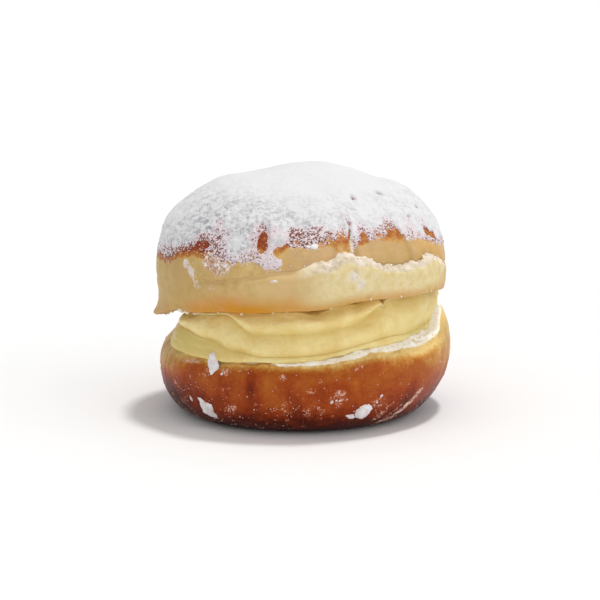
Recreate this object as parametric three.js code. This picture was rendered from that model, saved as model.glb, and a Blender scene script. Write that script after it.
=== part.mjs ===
// A cream-filled doughnut: a round fried bun, cut open all round and filled with folds of thick custard.
// Its domed lid leans back, so that the front gapes, and a coat of icing sugar covers the dome.
// Sizes are millimetres and +Z is up. The origin is the middle of the flat foot, and the open front faces -Y.
// A turn is an angle round the bun, in radians: 0 is the front, and it grows towards +X.
import * as THREE from "three";
import { mergeVertices } from "three/addons/utils/BufferGeometryUtils.js";

const { degToRad, radToDeg, lerp, smoothstep } = THREE.MathUtils;

// Driving dimensions.
const BUN_RADIUS = 50; // the bottom half, where it is widest
const LID_RADIUS = 49.4;
const FOOT_RADIUS = 33; // the flat spot that the bun rests on
const BELLY_HEIGHT = 20.5; // where the bottom half is widest
const BELLY_TILT = 3; // the widest line rises this much towards +X, and falls as much towards -X
const BELLY_SHIFT = 1.4; // the bottom half bulges this far towards +X of its foot
const BASE_CENTRE_HEIGHT = 29.5; // middle of the lower cut face
const LID_CENTRE_HEIGHT = 41; // middle of the upper cut face
const LID_WIDEST_HEIGHT = 50;
const TOP_HEIGHT = 80.4; // of the crust, under the sugar
const DOME_POWER = 2.2; // 2 is an ellipse, and more is boxier
const LID_SHIFT = 0.4; // the lid sits this far towards +X
const APEX_BACK = 3; // the leaning lid carries its top this far back
const SUGAR_THICKNESS = 1.1;
const FIT_GAP = 0.3; // between pieces that touch
const SIDES = 90; // facets round every piece, shared so that neighbours lie facet on facet

// Heights and radii that change round the bun, as [degrees of turn, value].
const CRUST_EDGE = [
  [-180, 32], [-88, 26], [-64, 23.2], [-35, 23.4], [-12, 24.3], [0, 24.3], [30, 26.8], [58, 26], [72, 27.4],
  [86, 34.4],
];
const TORN_CRUMB = [[-180, 1], [-90, 0.6], [-10, 0.9], [8, 1.2], [28, 2], [45, 2.6], [60, 3.2], [82, 1.6]];
const RIM_INSET = [[-180, 3], [-88, 5.6], [-66, 2.8], [-35, 2.2], [60, 1.8], [90, 2.4]];
const LID_EDGE = [
  [-180, 38], [-92, 32.4], [-56, 38.8], [-28, 41.7], [0, 43.5], [28, 46.3], [57, 45.2], [80, 43.2],
];
const LEDGE = [
  [-180, 44], [-80, 46.8], [-41, 51.4], [-6, 56.1], [8, 59], [18, 61.8], [34, 56.9], [50, 56.4], [60, 57],
  [84, 51.4],
];
const SUGAR_EDGE = [
  [-180, 53], [-88, 55.4], [-51, 62], [-37, 63.6], [-21, 60.8], [-5, 65.8], [8, 66], [16, 69], [21, 66.8],
  [29, 67.4], [40, 69.6], [48, 65.8], [62, 67], [76, 61], [96, 56.5],
];
const CREAM_TOP_RADIUS = [[-180, 42], [-88, 38], [-45, 43], [0, 45], [60, 44.5], [90, 45]];
const CREAM_FOOT_RADIUS = [[-180, 42.5], [-88, 42], [-66, 45], [-45, 45.6], [0, 46], [60, 44.3], [90, 44.8]];
const LOWER_FOLD = [
  [-180, 0.4], [-110, 0.5], [-80, 0.54], [-60, 0.52], [-43, 0.4], [-30, 0.22], [-14, 0.1], [20, 0.1],
  [41, 0.17], [60, 0.12], [110, 0.3],
];
const UPPER_FOLD = [[-180, 0.74], [-80, 0.9], [-37, 0.9], [-19, 0.55], [22, 0.54], [42, 0.92], [80, 0.86]];

// The value of such a list at a turn, smooth from each entry to the next and all the way round.
function around(entries, turn) {
  const degrees = radToDeg(Math.atan2(Math.sin(turn), Math.cos(turn)));
  const closed = [...entries, [entries[0][0] + 360, entries[0][1]]];
  const after = Math.max(1, closed.findIndex(([at]) => at >= degrees));
  const [startAt, start] = closed[after - 1];
  const [endAt, end] = closed[after];
  return lerp(start, end, smoothstep(degrees, startAt, endAt));
}

// 1 at one turn, fading to 0 over about `spread` on both sides of it. Both are degrees.
function hump(turn, at, spread) {
  const away = turn - degToRad(at);
  return Math.exp(-((Math.atan2(Math.sin(away), Math.cos(away)) / degToRad(spread)) ** 2));
}

// A few waves round the bun and up it, which keep the dough from being perfectly round.
// Each is [size, whole lobes round the bun, radians for each millimetre up, phase].
function waves(turn, height, terms) {
  return terms.reduce((sum, [size, lobes, rise, phase]) => {
    return sum + size * Math.sin(lobes * turn + rise * height + phase);
  }, 0);
}

const DOUGH_WAVES = [[0.35, 2, 0.03, 0.4], [0.3, 3, -0.05, 2.1], [0.22, 5, 0.09, 4.4], [0.14, 9, -0.12, 1.2]];
const SUGAR_WAVES = [[0.3, 3, 0.11, 5.2], [0.3, 5, -0.16, 0.6], [0.25, 8, 0.21, 3.3]];
const TEAR_WAVES = [[0.35, 13, 0, 0.5], [0.3, 23, 0, 2.2], [0.25, 34, 0, 4.1]];
const CREAM_WAVES = [[0.3, 4, 0.15, 0.8], [0.22, 7, -0.2, 3.7]];

// The ragged line along which crumb tore, at a turn. Another `start` gives another line, just as ragged.
const tear = (turn, start = 0) => waves(turn + start, 0, TEAR_WAVES);

// The point at a radius and height on the meridian of a turn, round an axis that stands at x and y.
function onMeridian(turn, radius, height, [x, y] = [0, 0]) {
  return new THREE.Vector3(x + radius * Math.sin(turn), y - radius * Math.cos(turn), height);
}

// Splits each four-sided facet of a sphere's grid at its shorter diagonal, so that bodies which share its
// corners share its two triangles too. The facets with three sides, at the two poles, are left as they are.
function splitAtShorterDiagonals(grid) {
  const corners = grid.getIndex().array;
  const position = grid.getAttribute("position");
  const pointAt = (corner) => new THREE.Vector3().fromBufferAttribute(position, corner);
  const poleEntries = 3 * SIDES;
  const facetEntries = 6;
  for (let at = poleEntries; at < corners.length - poleEntries; at += facetEntries) {
    const [a, b, d, , c] = corners.slice(at, at + facetEntries);
    const other = pointAt(a).distanceTo(pointAt(c));
    if (other < pointAt(b).distanceTo(pointAt(d))) corners.set([a, b, c, a, c, d], at);
  }
}

// A closed body with one meridian of points for each facet round it, from the middle of its top down to the
// middle of its foot.
function bodyFromMeridians(meridianAt) {
  const rings = meridianAt(0).length - 1;
  const grid = new THREE.SphereGeometry(1, SIDES, rings);
  const position = grid.getAttribute("position");
  for (let side = 0; side <= SIDES; side += 1) {
    const turn = ((side % SIDES) / SIDES) * 2 * Math.PI;
    meridianAt(turn).forEach((point, ring) => {
      position.setXYZ(ring * (SIDES + 1) + side, point.x, point.y, point.z);
    });
  }
  splitAtShorterDiagonals(grid);
  grid.deleteAttribute("normal");
  grid.deleteAttribute("uv");
  const closed = mergeVertices(grid, 1e-5);
  closed.computeVertexNormals();
  return closed;
}

// `count` shares spread evenly between 0 and 1, without either end.
const sharesBetween = (count) => Array.from({ length: count }, (_, step) => (step + 1) / (count + 1));

// The radii at which a cut face has its points, from the middle outwards.
const FACE_RADII = [0, 16, 32];

// A cut face is a shallow cone from its middle height to the height at its edge.
const faceHeight = (centre, edge, radius) => lerp(centre, edge, radius / BUN_RADIUS);

// The lower half: a bowl of browned crust with a rim of torn crumb round its cut face.
// Every meridian is a profile of [radius, height], from the middle of the top down.

const lowerFace = (turn, radius) => {
  return faceHeight(BASE_CENTRE_HEIGHT, around(CRUST_EDGE, turn) + around(TORN_CRUMB, turn), radius);
};
const bellyAxis = (height) => [BELLY_SHIFT * smoothstep(height, 0, BELLY_HEIGHT), 0];

const CRUST_THICKNESS = 1.2;
const RAGGED = 0.35; // how much of the tear's line the rim takes
const SHOULDER_ROUNDNESS = 2.2;
const BOWL_FULLNESS = 0.8; // below 1, the bowl is fuller at its bottom corner
const EVEN_BELOW = 6; // the dough's waves fade out under this height, down to the flat foot

// Lumps of icing sugar that fell on the lower crust: degrees of turn, height, spread and thickness.
const BASE_SUGAR_LUMPS = [[-40, 24.5, 2.1, 1.1], [-50, 6.5, 2.6, 1.2], [25, 8, 2.7, 1.2]];

function lumps(turn, height, list) {
  return list.reduce((sum, [at, level, spread, thickness]) => {
    const rise = (height - level) / spread;
    return sum + thickness * hump(turn, at, radToDeg(spread / BUN_RADIUS)) * Math.exp(-rise * rise);
  }, 0);
}

function baseMeridian(turn) {
  const edge = around(CRUST_EDGE, turn) + RAGGED * tear(turn);
  const belly = BELLY_HEIGHT + BELLY_TILT * Math.sin(turn);
  const inset = around(RIM_INSET, turn);
  const edgeRadius = BUN_RADIUS - inset;
  const crumbRadius = edgeRadius - CRUST_THICKNESS - around(TORN_CRUMB, turn) / 2;
  const shelf = [crumbRadius, lowerFace(turn, crumbRadius) + RAGGED * tear(turn, 1)];
  const bevel = [lerp(crumbRadius, edgeRadius, 0.6), lerp(shelf[1], edge, 0.4) - RAGGED * tear(turn, 2)];
  const shoulder = [0, 0.25, 0.5, 0.75].map((share) => {
    return [BUN_RADIUS - inset * (1 - share) ** SHOULDER_ROUNDNESS, lerp(edge, belly, share)];
  });
  const bowl = [0, 0.17, 0.34, 0.5, 0.66, 0.82, 0.93].map((share) => {
    const fall = share * (Math.PI / 2);
    return [lerp(FOOT_RADIUS, BUN_RADIUS, Math.cos(fall) ** BOWL_FULLNESS), belly * (1 - Math.sin(fall))];
  });
  const side = [...shoulder, ...bowl].map(([radius, height]) => {
    const uneven = waves(turn, height, DOUGH_WAVES) * smoothstep(height, 0, EVEN_BELOW);
    return [radius + uneven + lumps(turn, height, BASE_SUGAR_LUMPS), height];
  });
  const face = FACE_RADII.map((radius) => [radius, lowerFace(turn, radius)]);
  const profile = [...face, shelf, bevel, ...side, [FOOT_RADIUS, 0], [FOOT_RADIUS / 2, 0], [0, 0]];
  return profile.map(([radius, height]) => onMeridian(turn, radius, height, bellyAxis(height)));
}

// The custard: three soft folds between the two cut faces, parted by creases.

const upperFace = (turn, radius) => faceHeight(LID_CENTRE_HEIGHT, around(LID_EDGE, turn), radius);

// The folds from the top down: how far each stands out, and its points between two creases.
const FOLDS = [{ out: -0.4, steps: 3 }, { out: 0, steps: 4 }, { out: 0, steps: 3 }];
const CREASE_DEPTH = 0.5;
const FOLD_ROUNDNESS = 0.36; // how far a fold swells out, for its height
const MOST_SWELL = 2.2;

function custardMeridian(turn) {
  const footRadius = around(CREAM_FOOT_RADIUS, turn);
  const topRadius = around(CREAM_TOP_RADIUS, turn);
  const bottom = lowerFace(turn, footRadius) + 2 * FIT_GAP;
  const top = upperFace(turn, topRadius) - 2 * FIT_GAP;
  const creases = [1, around(UPPER_FOLD, turn), around(LOWER_FOLD, turn), 0];
  const radiusAt = (share) => lerp(footRadius, topRadius, share);
  const side = FOLDS.flatMap(({ out, steps }, fold) => {
    const [high, low] = [creases[fold], creases[fold + 1]];
    const bulge = Math.min(MOST_SWELL, FOLD_ROUNDNESS * (high - low) * (top - bottom));
    const round = sharesBetween(steps).map((down) => {
      const share = lerp(high, low, down);
      const height = lerp(bottom, top, share);
      const swell = bulge * Math.sqrt(Math.sin(Math.PI * down));
      return [radiusAt(share) + out + swell + waves(turn, height, CREAM_WAVES), height];
    });
    return [[radiusAt(high) + out - CREASE_DEPTH, lerp(bottom, top, high)], ...round];
  });
  const above = FACE_RADII.map((at) => [at, upperFace(turn, at) - FIT_GAP]);
  const below = FACE_RADII.map((at) => [at, lowerFace(turn, at) + FIT_GAP]).reverse();
  const profile = [...above, ...side, [footRadius - CREASE_DEPTH, bottom], ...below];
  return profile.map(([at, height]) => onMeridian(turn, at, height));
}

// The lid: a browned dome over a pale band, a crease or torn ledge, and the thick lip above the cut.

const lidAxis = (height) => [LID_SHIFT, APEX_BACK * smoothstep(height, LID_WIDEST_HEIGHT, TOP_HEIGHT)];

const LID_FACE_RADIUS = 45; // the upper cut face is flat out to here

// Broad swells and hollows of the crown: their x, y, spread and rise.
const CROWN_SWELLS = [
  [6, 10, 13, 1.3], [-27, 8, 8, 1.3], [22, 12, 8, -0.9], [-16, 12, 10, -1.3], [34, 4, 9, 0.6],
];

// The point of the dome's crust at a turn and a lean. A lean of 0 is where the lid is widest, and a quarter
// turn is its top.
function domePoint(turn, lean) {
  const height = lerp(LID_WIDEST_HEIGHT, TOP_HEIGHT, Math.sin(lean) ** (2 / DOME_POWER));
  const radius = LID_RADIUS * Math.cos(lean) ** (2 / DOME_POWER);
  const uneven = waves(turn, height, DOUGH_WAVES) * smoothstep(radius, 0, LID_RADIUS / 2);
  const point = onMeridian(turn, radius + uneven, height, lidAxis(height));
  const swell = CROWN_SWELLS.reduce((sum, [x, y, spread, rise]) => {
    return sum + rise * Math.exp(-((point.x - x) ** 2 + (point.y - y) ** 2) / spread ** 2);
  }, 0);
  point.z += swell * smoothstep(height, LID_WIDEST_HEIGHT, TOP_HEIGHT);
  return point;
}

const DOME_RINGS = 9;

// The leans at which the dome has its points, from its top down to the edge of the sugar.
function domeLeans(turn) {
  const rise = (around(SUGAR_EDGE, turn) - LID_WIDEST_HEIGHT) / (TOP_HEIGHT - LID_WIDEST_HEIGHT);
  const edgeLean = Math.asin(rise ** (DOME_POWER / 2));
  return Array.from({ length: DOME_RINGS + 1 }, (_, ring) => lerp(Math.PI / 2, edgeLean, ring / DOME_RINGS));
}

const LOWER_INSET = 12; // how fast the lid draws in below its widest height

// The radius of the lid's crust at a height, before its waves.
function wallRadius(height) {
  const rise = (height - LID_WIDEST_HEIGHT) / (TOP_HEIGHT - LID_WIDEST_HEIGHT);
  if (rise > 0) return LID_RADIUS * (1 - rise ** DOME_POWER) ** (1 / DOME_POWER);
  return LID_RADIUS - LOWER_INSET * rise * rise;
}

// The ledge: the crust above it steps back, and its torn lip stands out.
const LEDGE_STEP = 0.7;
const LIP_OUT = 1.9;
const LIP_HEIGHT = 1.4;
const LEDGE_RAGGED = 0.9;
const UNDERCUT = 1.6; // how far the slab's underside rounds in
const FLAP = { at: -89, spread: 17, out: 5.6, curl: 2.4 }; // the slab flares out at its drooping -X end

function lidMeridian(turn) {
  const dome = domeLeans(turn).map((lean) => domePoint(turn, lean));
  const edge = around(LID_EDGE, turn);
  const torn = smoothstep(Math.sin(turn), -0.1, 0.2) * smoothstep(Math.cos(turn), 0.05, 0.5);
  const ledge = around(LEDGE, turn) + LEDGE_RAGGED * tear(turn) * torn;
  const flare = FLAP.out * hump(turn, FLAP.at, FLAP.spread);
  const wall = (height, out = 0) => [wallRadius(height) + out + waves(turn, height, DOUGH_WAVES), height];
  const overLedge = ledge + LEDGE_STEP;
  const band = [0.35, 0.7].map((share) => wall(lerp(dome.at(-1).z, overLedge, share)));
  const lip = LIP_OUT * torn;
  const step = [wall(overLedge, -LEDGE_STEP), wall(ledge, lip - LEDGE_STEP), wall(ledge - LIP_HEIGHT, lip)];
  const slab = [0.4, 0.75, 0.97].map((share) => {
    const height = lerp(ledge - LIP_HEIGHT, edge, share);
    return wall(height, lip * (1 - share / 2) + flare * share ** FLAP.curl);
  });
  const underside = wall(edge, lip / 3 + 0.9 * flare - UNDERCUT);
  const faceRadii = [LID_FACE_RADIUS, ...FACE_RADII.toReversed()];
  const face = faceRadii.map((radius) => [radius, upperFace(turn, radius)]);
  const profile = [...band, ...step, ...slab, underside, ...face];
  return [...dome, ...profile.map(([radius, height]) => onMeridian(turn, radius, height, lidAxis(height)))];
}

// The direction that faces straight out of the dome, from two short steps along it.
function domeNormal(turn, lean) {
  const nudge = 0.01;
  const from = Math.min(lean, Math.PI / 2 - nudge);
  const here = domePoint(turn, from);
  const up = domePoint(turn, from + nudge).sub(here);
  const along = domePoint(turn + nudge, from).sub(here);
  return from < lean ? new THREE.Vector3(0, 0, 1) : along.cross(up).normalize();
}

// The icing sugar: a thin cap that follows the dome, thickest on top and feathering out to its uneven edge.
function sugarMeridian(turn) {
  const leans = domeLeans(turn);
  const lifted = (lean, off) => domePoint(turn, lean).addScaledVector(domeNormal(turn, lean), off);
  const outer = leans.map((lean, ring) => {
    const feathered = 1 - (ring / DOME_RINGS) ** 4;
    const lumpy = 1 + smoothstep(Math.cos(lean), 0, 0.5) * waves(turn, lean * LID_RADIUS, SUGAR_WAVES);
    return lifted(lean, 2 * FIT_GAP + SUGAR_THICKNESS * feathered * lumpy);
  });
  return [...outer, ...leans.map((lean) => lifted(lean, FIT_GAP)).reverse()];
}

// Each piece's finish.
const FINISHES = {
  bun_base: { color: "#a65a24", roughness: 0.45, metalness: 0 },
  custard: { color: "#ecd48a", roughness: 0.35, metalness: 0 },
  bun_lid: { color: "#d9ae74", roughness: 0.55, metalness: 0 },
  icing_sugar: { color: "#f4f2f0", roughness: 1, metalness: 0 },
};

function piece(name, geometry) {
  const mesh = new THREE.Mesh(geometry, new THREE.MeshStandardMaterial(FINISHES[name]));
  mesh.name = name;
  return mesh;
}

const doughnut = new THREE.Group();
doughnut.add(piece("bun_base", bodyFromMeridians(baseMeridian)));
doughnut.add(piece("custard", bodyFromMeridians(custardMeridian)));
doughnut.add(piece("bun_lid", bodyFromMeridians(lidMeridian)));
doughnut.add(piece("icing_sugar", bodyFromMeridians(sugarMeridian)));

export default doughnut;
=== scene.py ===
import itertools
import math

import bpy
import numpy as np
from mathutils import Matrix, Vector


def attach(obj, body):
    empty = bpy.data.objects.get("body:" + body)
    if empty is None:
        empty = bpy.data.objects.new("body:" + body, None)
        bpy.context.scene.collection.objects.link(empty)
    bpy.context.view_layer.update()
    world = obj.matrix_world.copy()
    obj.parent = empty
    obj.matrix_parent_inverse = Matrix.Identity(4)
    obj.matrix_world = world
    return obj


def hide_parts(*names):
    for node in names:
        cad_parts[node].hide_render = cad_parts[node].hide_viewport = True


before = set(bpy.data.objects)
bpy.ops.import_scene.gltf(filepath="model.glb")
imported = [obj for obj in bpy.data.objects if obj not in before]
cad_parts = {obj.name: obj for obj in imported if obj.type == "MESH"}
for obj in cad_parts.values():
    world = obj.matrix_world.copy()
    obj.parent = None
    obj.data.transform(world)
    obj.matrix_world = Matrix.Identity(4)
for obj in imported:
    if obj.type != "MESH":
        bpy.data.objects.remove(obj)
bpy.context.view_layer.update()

# A cream-filled doughnut: a round fried bun, cut open all round and filled with folds of thick custard, with
# icing sugar over its domed lid. Shapes are worked out in millimetres and made in metres, with +Z up.
# A turn is an angle round the bun, in radians: 0 is the open front at -Y, and it grows towards +X.
MM = 0.001

# Driving dimensions, the same as the solids'.
BUN_RADIUS = 50
LID_RADIUS = 49.4
FOOT_RADIUS = 33
BELLY_HEIGHT = 20.5  # where the lower half is widest
BELLY_TILT = 3  # that widest line rises this much towards +X
BELLY_SHIFT = 1.4  # the lower half bulges this far towards +X of its foot
BASE_CENTRE_HEIGHT = 29.5  # middle of the lower cut face
LID_CENTRE_HEIGHT = 41  # middle of the upper cut face
LID_WIDEST_HEIGHT = 50
TOP_HEIGHT = 80.4  # of the crust, under the sugar
DOME_POWER = 2.2  # 2 is an ellipse, and more is boxier
LID_SHIFT = 0.4  # the lid sits this far towards +X
APEX_BACK = 3  # and carries its top this far back
LOWER_INSET = 12  # how fast the lid draws in below its widest height
FIT_GAP = 0.3  # between pieces that touch
FACE_RINGS = (0, 16, 32)  # radii of the rings of points on a cut face

# Heights, radii and shares that change round the bun, as [degrees of turn, value].
CRUST_EDGE = [
    [-180, 32], [-88, 26], [-64, 23.2], [-35, 23.4], [-12, 24.3], [0, 24.3], [30, 26.8], [58, 26],
    [72, 27.4], [86, 34.4],
]
TORN_CRUMB = [[-180, 1], [-90, 0.6], [-10, 0.9], [8, 1.2], [28, 2], [45, 2.6], [60, 3.2], [82, 1.6]]
RIM_INSET = [[-180, 3], [-88, 5.6], [-66, 2.8], [-35, 2.2], [60, 1.8], [90, 2.4]]
LID_EDGE = [
    [-180, 38], [-92, 32.4], [-56, 38.8], [-28, 41.7], [0, 43.5], [28, 46.3], [57, 45.2], [80, 43.2],
]
LEDGE = [
    [-180, 44], [-80, 46.8], [-41, 51.4], [-6, 56.1], [8, 59], [18, 61.8], [34, 56.9], [50, 56.4], [60, 57],
    [84, 51.4],
]
SUGAR_EDGE = [
    [-180, 53], [-88, 55.4], [-51, 62], [-37, 63.6], [-21, 60.8], [-5, 65.8], [8, 66], [16, 69], [21, 66.8],
    [29, 67.4], [40, 69.6], [48, 65.8], [62, 67], [76, 61], [96, 56.5],
]
CREAM_TOP_RADIUS = [[-180, 42], [-88, 38], [-45, 43], [0, 45], [60, 44.5], [90, 45]]
CREAM_FOOT_RADIUS = [[-180, 42.5], [-88, 42], [-66, 45], [-45, 45.6], [0, 46], [60, 44.3], [90, 44.8]]
LOWER_FOLD = [
    [-180, 0.4], [-110, 0.5], [-80, 0.54], [-60, 0.52], [-43, 0.4], [-30, 0.22], [-14, 0.1], [20, 0.1],
    [41, 0.17], [60, 0.12], [110, 0.3],
]
UPPER_FOLD = [[-180, 0.74], [-80, 0.97], [-37, 0.94], [-19, 0.55], [22, 0.54], [42, 0.97], [80, 0.96]]

# Waves round the bun and up it: size, whole lobes, radians for each millimetre up, and phase.
DOUGH_WAVES = [[0.35, 2, 0.03, 0.4], [0.3, 3, -0.05, 2.1], [0.22, 5, 0.09, 4.4], [0.14, 9, -0.12, 1.2]]
SUGAR_WAVES = [[0.3, 3, 0.11, 5.2], [0.3, 5, -0.16, 0.6], [0.25, 8, 0.21, 3.3]]
TEAR_WAVES = [[0.35, 13, 0, 0.5], [0.3, 23, 0, 2.2], [0.25, 34, 0, 4.1]]
CREAM_WAVES = [[0.3, 4, 0.15, 0.8], [0.22, 7, -0.2, 3.7]]


# Numbers that change smoothly.

def lerp(start, end, share):
    return start + (end - start) * share


def smoothstep(value, low, high):
    share = np.clip((value - low) / (high - low), 0, 1)
    return share * share * (3 - 2 * share)


def around(entries, turn):
    """The value of a list of [degrees of turn, value] at each turn, smooth all the way round the bun."""
    degrees = np.degrees(np.arctan2(np.sin(turn), np.cos(turn)))
    closed = np.array([*entries, [entries[0][0] + 360, entries[0][1]]], float)
    after = np.clip(np.searchsorted(closed[:, 0], degrees), 1, len(closed) - 1)
    (start_at, start), (end_at, end) = closed[after - 1].T, closed[after].T
    return lerp(start, end, smoothstep(degrees, start_at, end_at))


def turn_apart(turn, at):
    """How far a turn is from another that is given in degrees, in radians either way round."""
    away = turn - math.radians(at)
    return np.arctan2(np.sin(away), np.cos(away))


def hump(turn, at, spread):
    """1 at one turn, fading to 0 over about the spread on both sides of it. Both are degrees."""
    return np.exp(-((turn_apart(turn, at) / math.radians(spread)) ** 2))


def strokes(turn, height, lines, radius):
    """Straight strokes on the bun's side, where it has this radius. Each is at its strength out to 0.4 of its
    half width, and gone at 1.3 of it."""
    strongest = np.zeros(np.broadcast_shapes(turn.shape, height.shape))
    for start_at, start_height, end_at, end_height, half_width, strength in lines:
        across = radius * turn_apart(turn, start_at)
        along = np.array([math.radians(end_at - start_at) * radius, end_height - start_height])
        share = np.clip((across * along[0] + (height - start_height) * along[1]) / (along @ along), 0, 1)
        away = np.hypot(across - share * along[0], height - start_height - share * along[1])
        here = strength * (1 - smoothstep(away, 0.4 * half_width, 1.3 * half_width))
        strongest = np.maximum(strongest, here)
    return strongest


def patches(turn, height, spots):
    """The sum of soft oval patches, each with its strength in the middle."""
    total = 0
    for at, level, wide, tall, strength in spots:
        away = (turn_apart(turn, at) / math.radians(wide)) ** 2 + ((height - level) / tall) ** 2
        total = total + strength * np.exp(-(away**2))
    return total


def waves(turn, height, terms):
    return sum(size * np.sin(lobes * turn + rise * height + phase) for size, lobes, rise, phase in terms)


def tear(turn, start=0):
    return waves(turn + start, 0, TEAR_WAVES)


def on_meridian(turn, radius, height, x=0, y=0):
    """Points at a radius and height on the meridians of the turns, round an axis that stands at x and y."""
    flat = [x + radius * np.sin(turn), y - radius * np.cos(turn), height]
    return np.stack(np.broadcast_arrays(*flat), axis=-1)


def raised(points, normals, out):
    """Points moved along the directions out of their surface."""
    return points + normals * out[..., None]


# Noise that is the same each run.

CELLS = 256
draws = np.random.default_rng(11)
SHUFFLE = draws.permutation(CELLS)
SLOPES = draws.normal(size=(CELLS, 3))
SLOPES /= np.linalg.norm(SLOPES, axis=1, keepdims=True)
SPOTS = draws.random((CELLS, 3))


def drawn(table, cell, seed):
    """The row of a table of random draws that belongs to each whole-number cell of space."""
    row = seed
    for place in np.moveaxis(cell.astype(int), -1, 0):
        row = SHUFFLE[(place + row) % CELLS]
    return table[row]


def soft_noise(points, size, seed):
    """Smooth noise from about -1 to 1. The size is how far apart its swells are."""
    cell = np.floor(points / size)
    local = points / size - cell
    fade = local**3 * (local * (local * 6 - 15) + 10)
    total = 0
    for corner in itertools.product((0, 1), repeat=3):
        weight = np.where(corner, fade, 1 - fade).prod(-1)
        total = total + weight * (drawn(SLOPES, cell + corner, seed) * (local - corner)).sum(-1)
    return 1.6 * total


def rough_noise(points, size, octaves, seed):
    return sum(soft_noise(points, size / 2**k, seed + 17 * k) / 2**k for k in range(octaves))


def layers(points, terms):
    """The sum of layers of soft noise, each with its strength, its size and its seed."""
    return sum(strength * soft_noise(points, size, seed) for strength, size, seed in terms)


def spot_distance(points, size, seed):
    """How far the nearest of many scattered spots is, in sizes: 0 on a spot and about 0.8 between spots."""
    cell = np.floor(points / size)
    nearest = np.full(points.shape[:-1], np.inf)
    for corner in itertools.product((-1, 0, 1), repeat=3):
        spot = cell + corner + drawn(SPOTS, cell + corner, seed)
        nearest = np.minimum(nearest, np.linalg.norm(points / size - spot, axis=-1))
    return nearest


# Grids of points: one row for each step down a meridian and one column for each turn.

def turns(columns):
    return np.arange(columns) * (2 * math.pi / columns)


def grid_normals(points):
    across = np.roll(points, -1, axis=1) - np.roll(points, 1, axis=1)
    normal = np.cross(np.gradient(points, axis=0), across)
    length = np.linalg.norm(normal, axis=-1, keepdims=True)
    return np.where(length > 1e-9, normal / np.maximum(length, 1e-9), [0, 0, 1])


def flat_rings(turn, face, radii, gap=0):
    """The radius and height of rings on a cut face, or of rings a gap above it."""
    return [[0 * turn + radius, face(turn, radius) + gap] for radius in radii]


def smooth_through(knots, steps):
    """Radii and heights of rows on smooth lines through rings, with so many steps to each next ring."""
    knots = np.moveaxis(np.array(knots), 1, -1)
    span = np.diff(knots, axis=0)
    chord = np.linalg.norm(span, axis=-1, keepdims=True) + 1e-6
    slope = span / chord
    inner = (slope[:-1] * chord[1:] + slope[1:] * chord[:-1]) / (chord[:-1] + chord[1:])
    tangent = np.concatenate([slope[:1], inner, slope[-1:]])
    rows = []
    for at, count in enumerate(steps):
        for share in np.arange(count) / count:
            ahead = share * share * (3 - 2 * share)
            leave = share * (1 - share) ** 2 * chord[at] * tangent[at]
            arrive = share * share * (1 - share) * chord[at] * tangent[at + 1]
            rows.append(lerp(knots[at], knots[at + 1], ahead) + leave - arrive)
    return np.moveaxis(np.stack([*rows, knots[-1]]), -1, 0)


def closed_faces(rings, columns):
    """Faces of a closed form that has a point at each end and so many rings of points between them."""
    grid = 1 + np.arange(rings * columns).reshape(rings, columns)
    after = np.roll(grid, -1, axis=1)
    start, end = np.zeros(columns, int), np.full(columns, grid[-1, -1] + 1)
    starts = np.stack([start, grid[0], after[0]], axis=-1)
    quads = np.stack([grid[:-1], grid[1:], after[1:], after[:-1]], axis=-1).reshape(-1, 4)
    ends = np.stack([grid[-1], end, after[-1]], axis=-1)
    return starts.tolist() + quads.tolist() + ends.tolist()


def body_from_grid(name, points, masks, material):
    """A closed mesh whose first and last rows are single points, with a float attribute for each mask."""

    def joined(values):
        middle = values[1:-1].reshape(-1, *values.shape[2:])
        return np.concatenate([values[:1, 0], middle, values[-1:, 0]])

    faces = closed_faces(len(points) - 2, points.shape[1])
    masks = {key: joined(mask) for key, mask in masks.items()}
    return made_piece(name, joined(points), faces, masks, material)


def made_piece(name, points, faces, masks, material):
    mesh = bpy.data.meshes.new(name)
    mesh.from_pydata((np.asarray(points) * MM).tolist(), [], faces)
    for key, mask in masks.items():
        attribute = mesh.attributes.new(key, "FLOAT", "POINT")
        attribute.data.foreach_set("value", mask.astype(np.float32).ravel())
    mesh.shade_smooth()
    mesh.materials.append(material)
    return placed(name, mesh)


def placed(name, data):
    thing = bpy.data.objects.new(name, data)
    bpy.context.scene.collection.objects.link(thing)
    return thing


# Materials.

def tone(colour):
    """The linear values that Blender takes for a colour given as 0 to 255. A socket stays as it is."""
    if not isinstance(colour, tuple):
        return colour
    parts = [value / 255 for value in colour]
    return (*[part / 12.92 if part < 0.04045 else ((part + 0.055) / 1.055) ** 2.4 for part in parts], 1)


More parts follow.
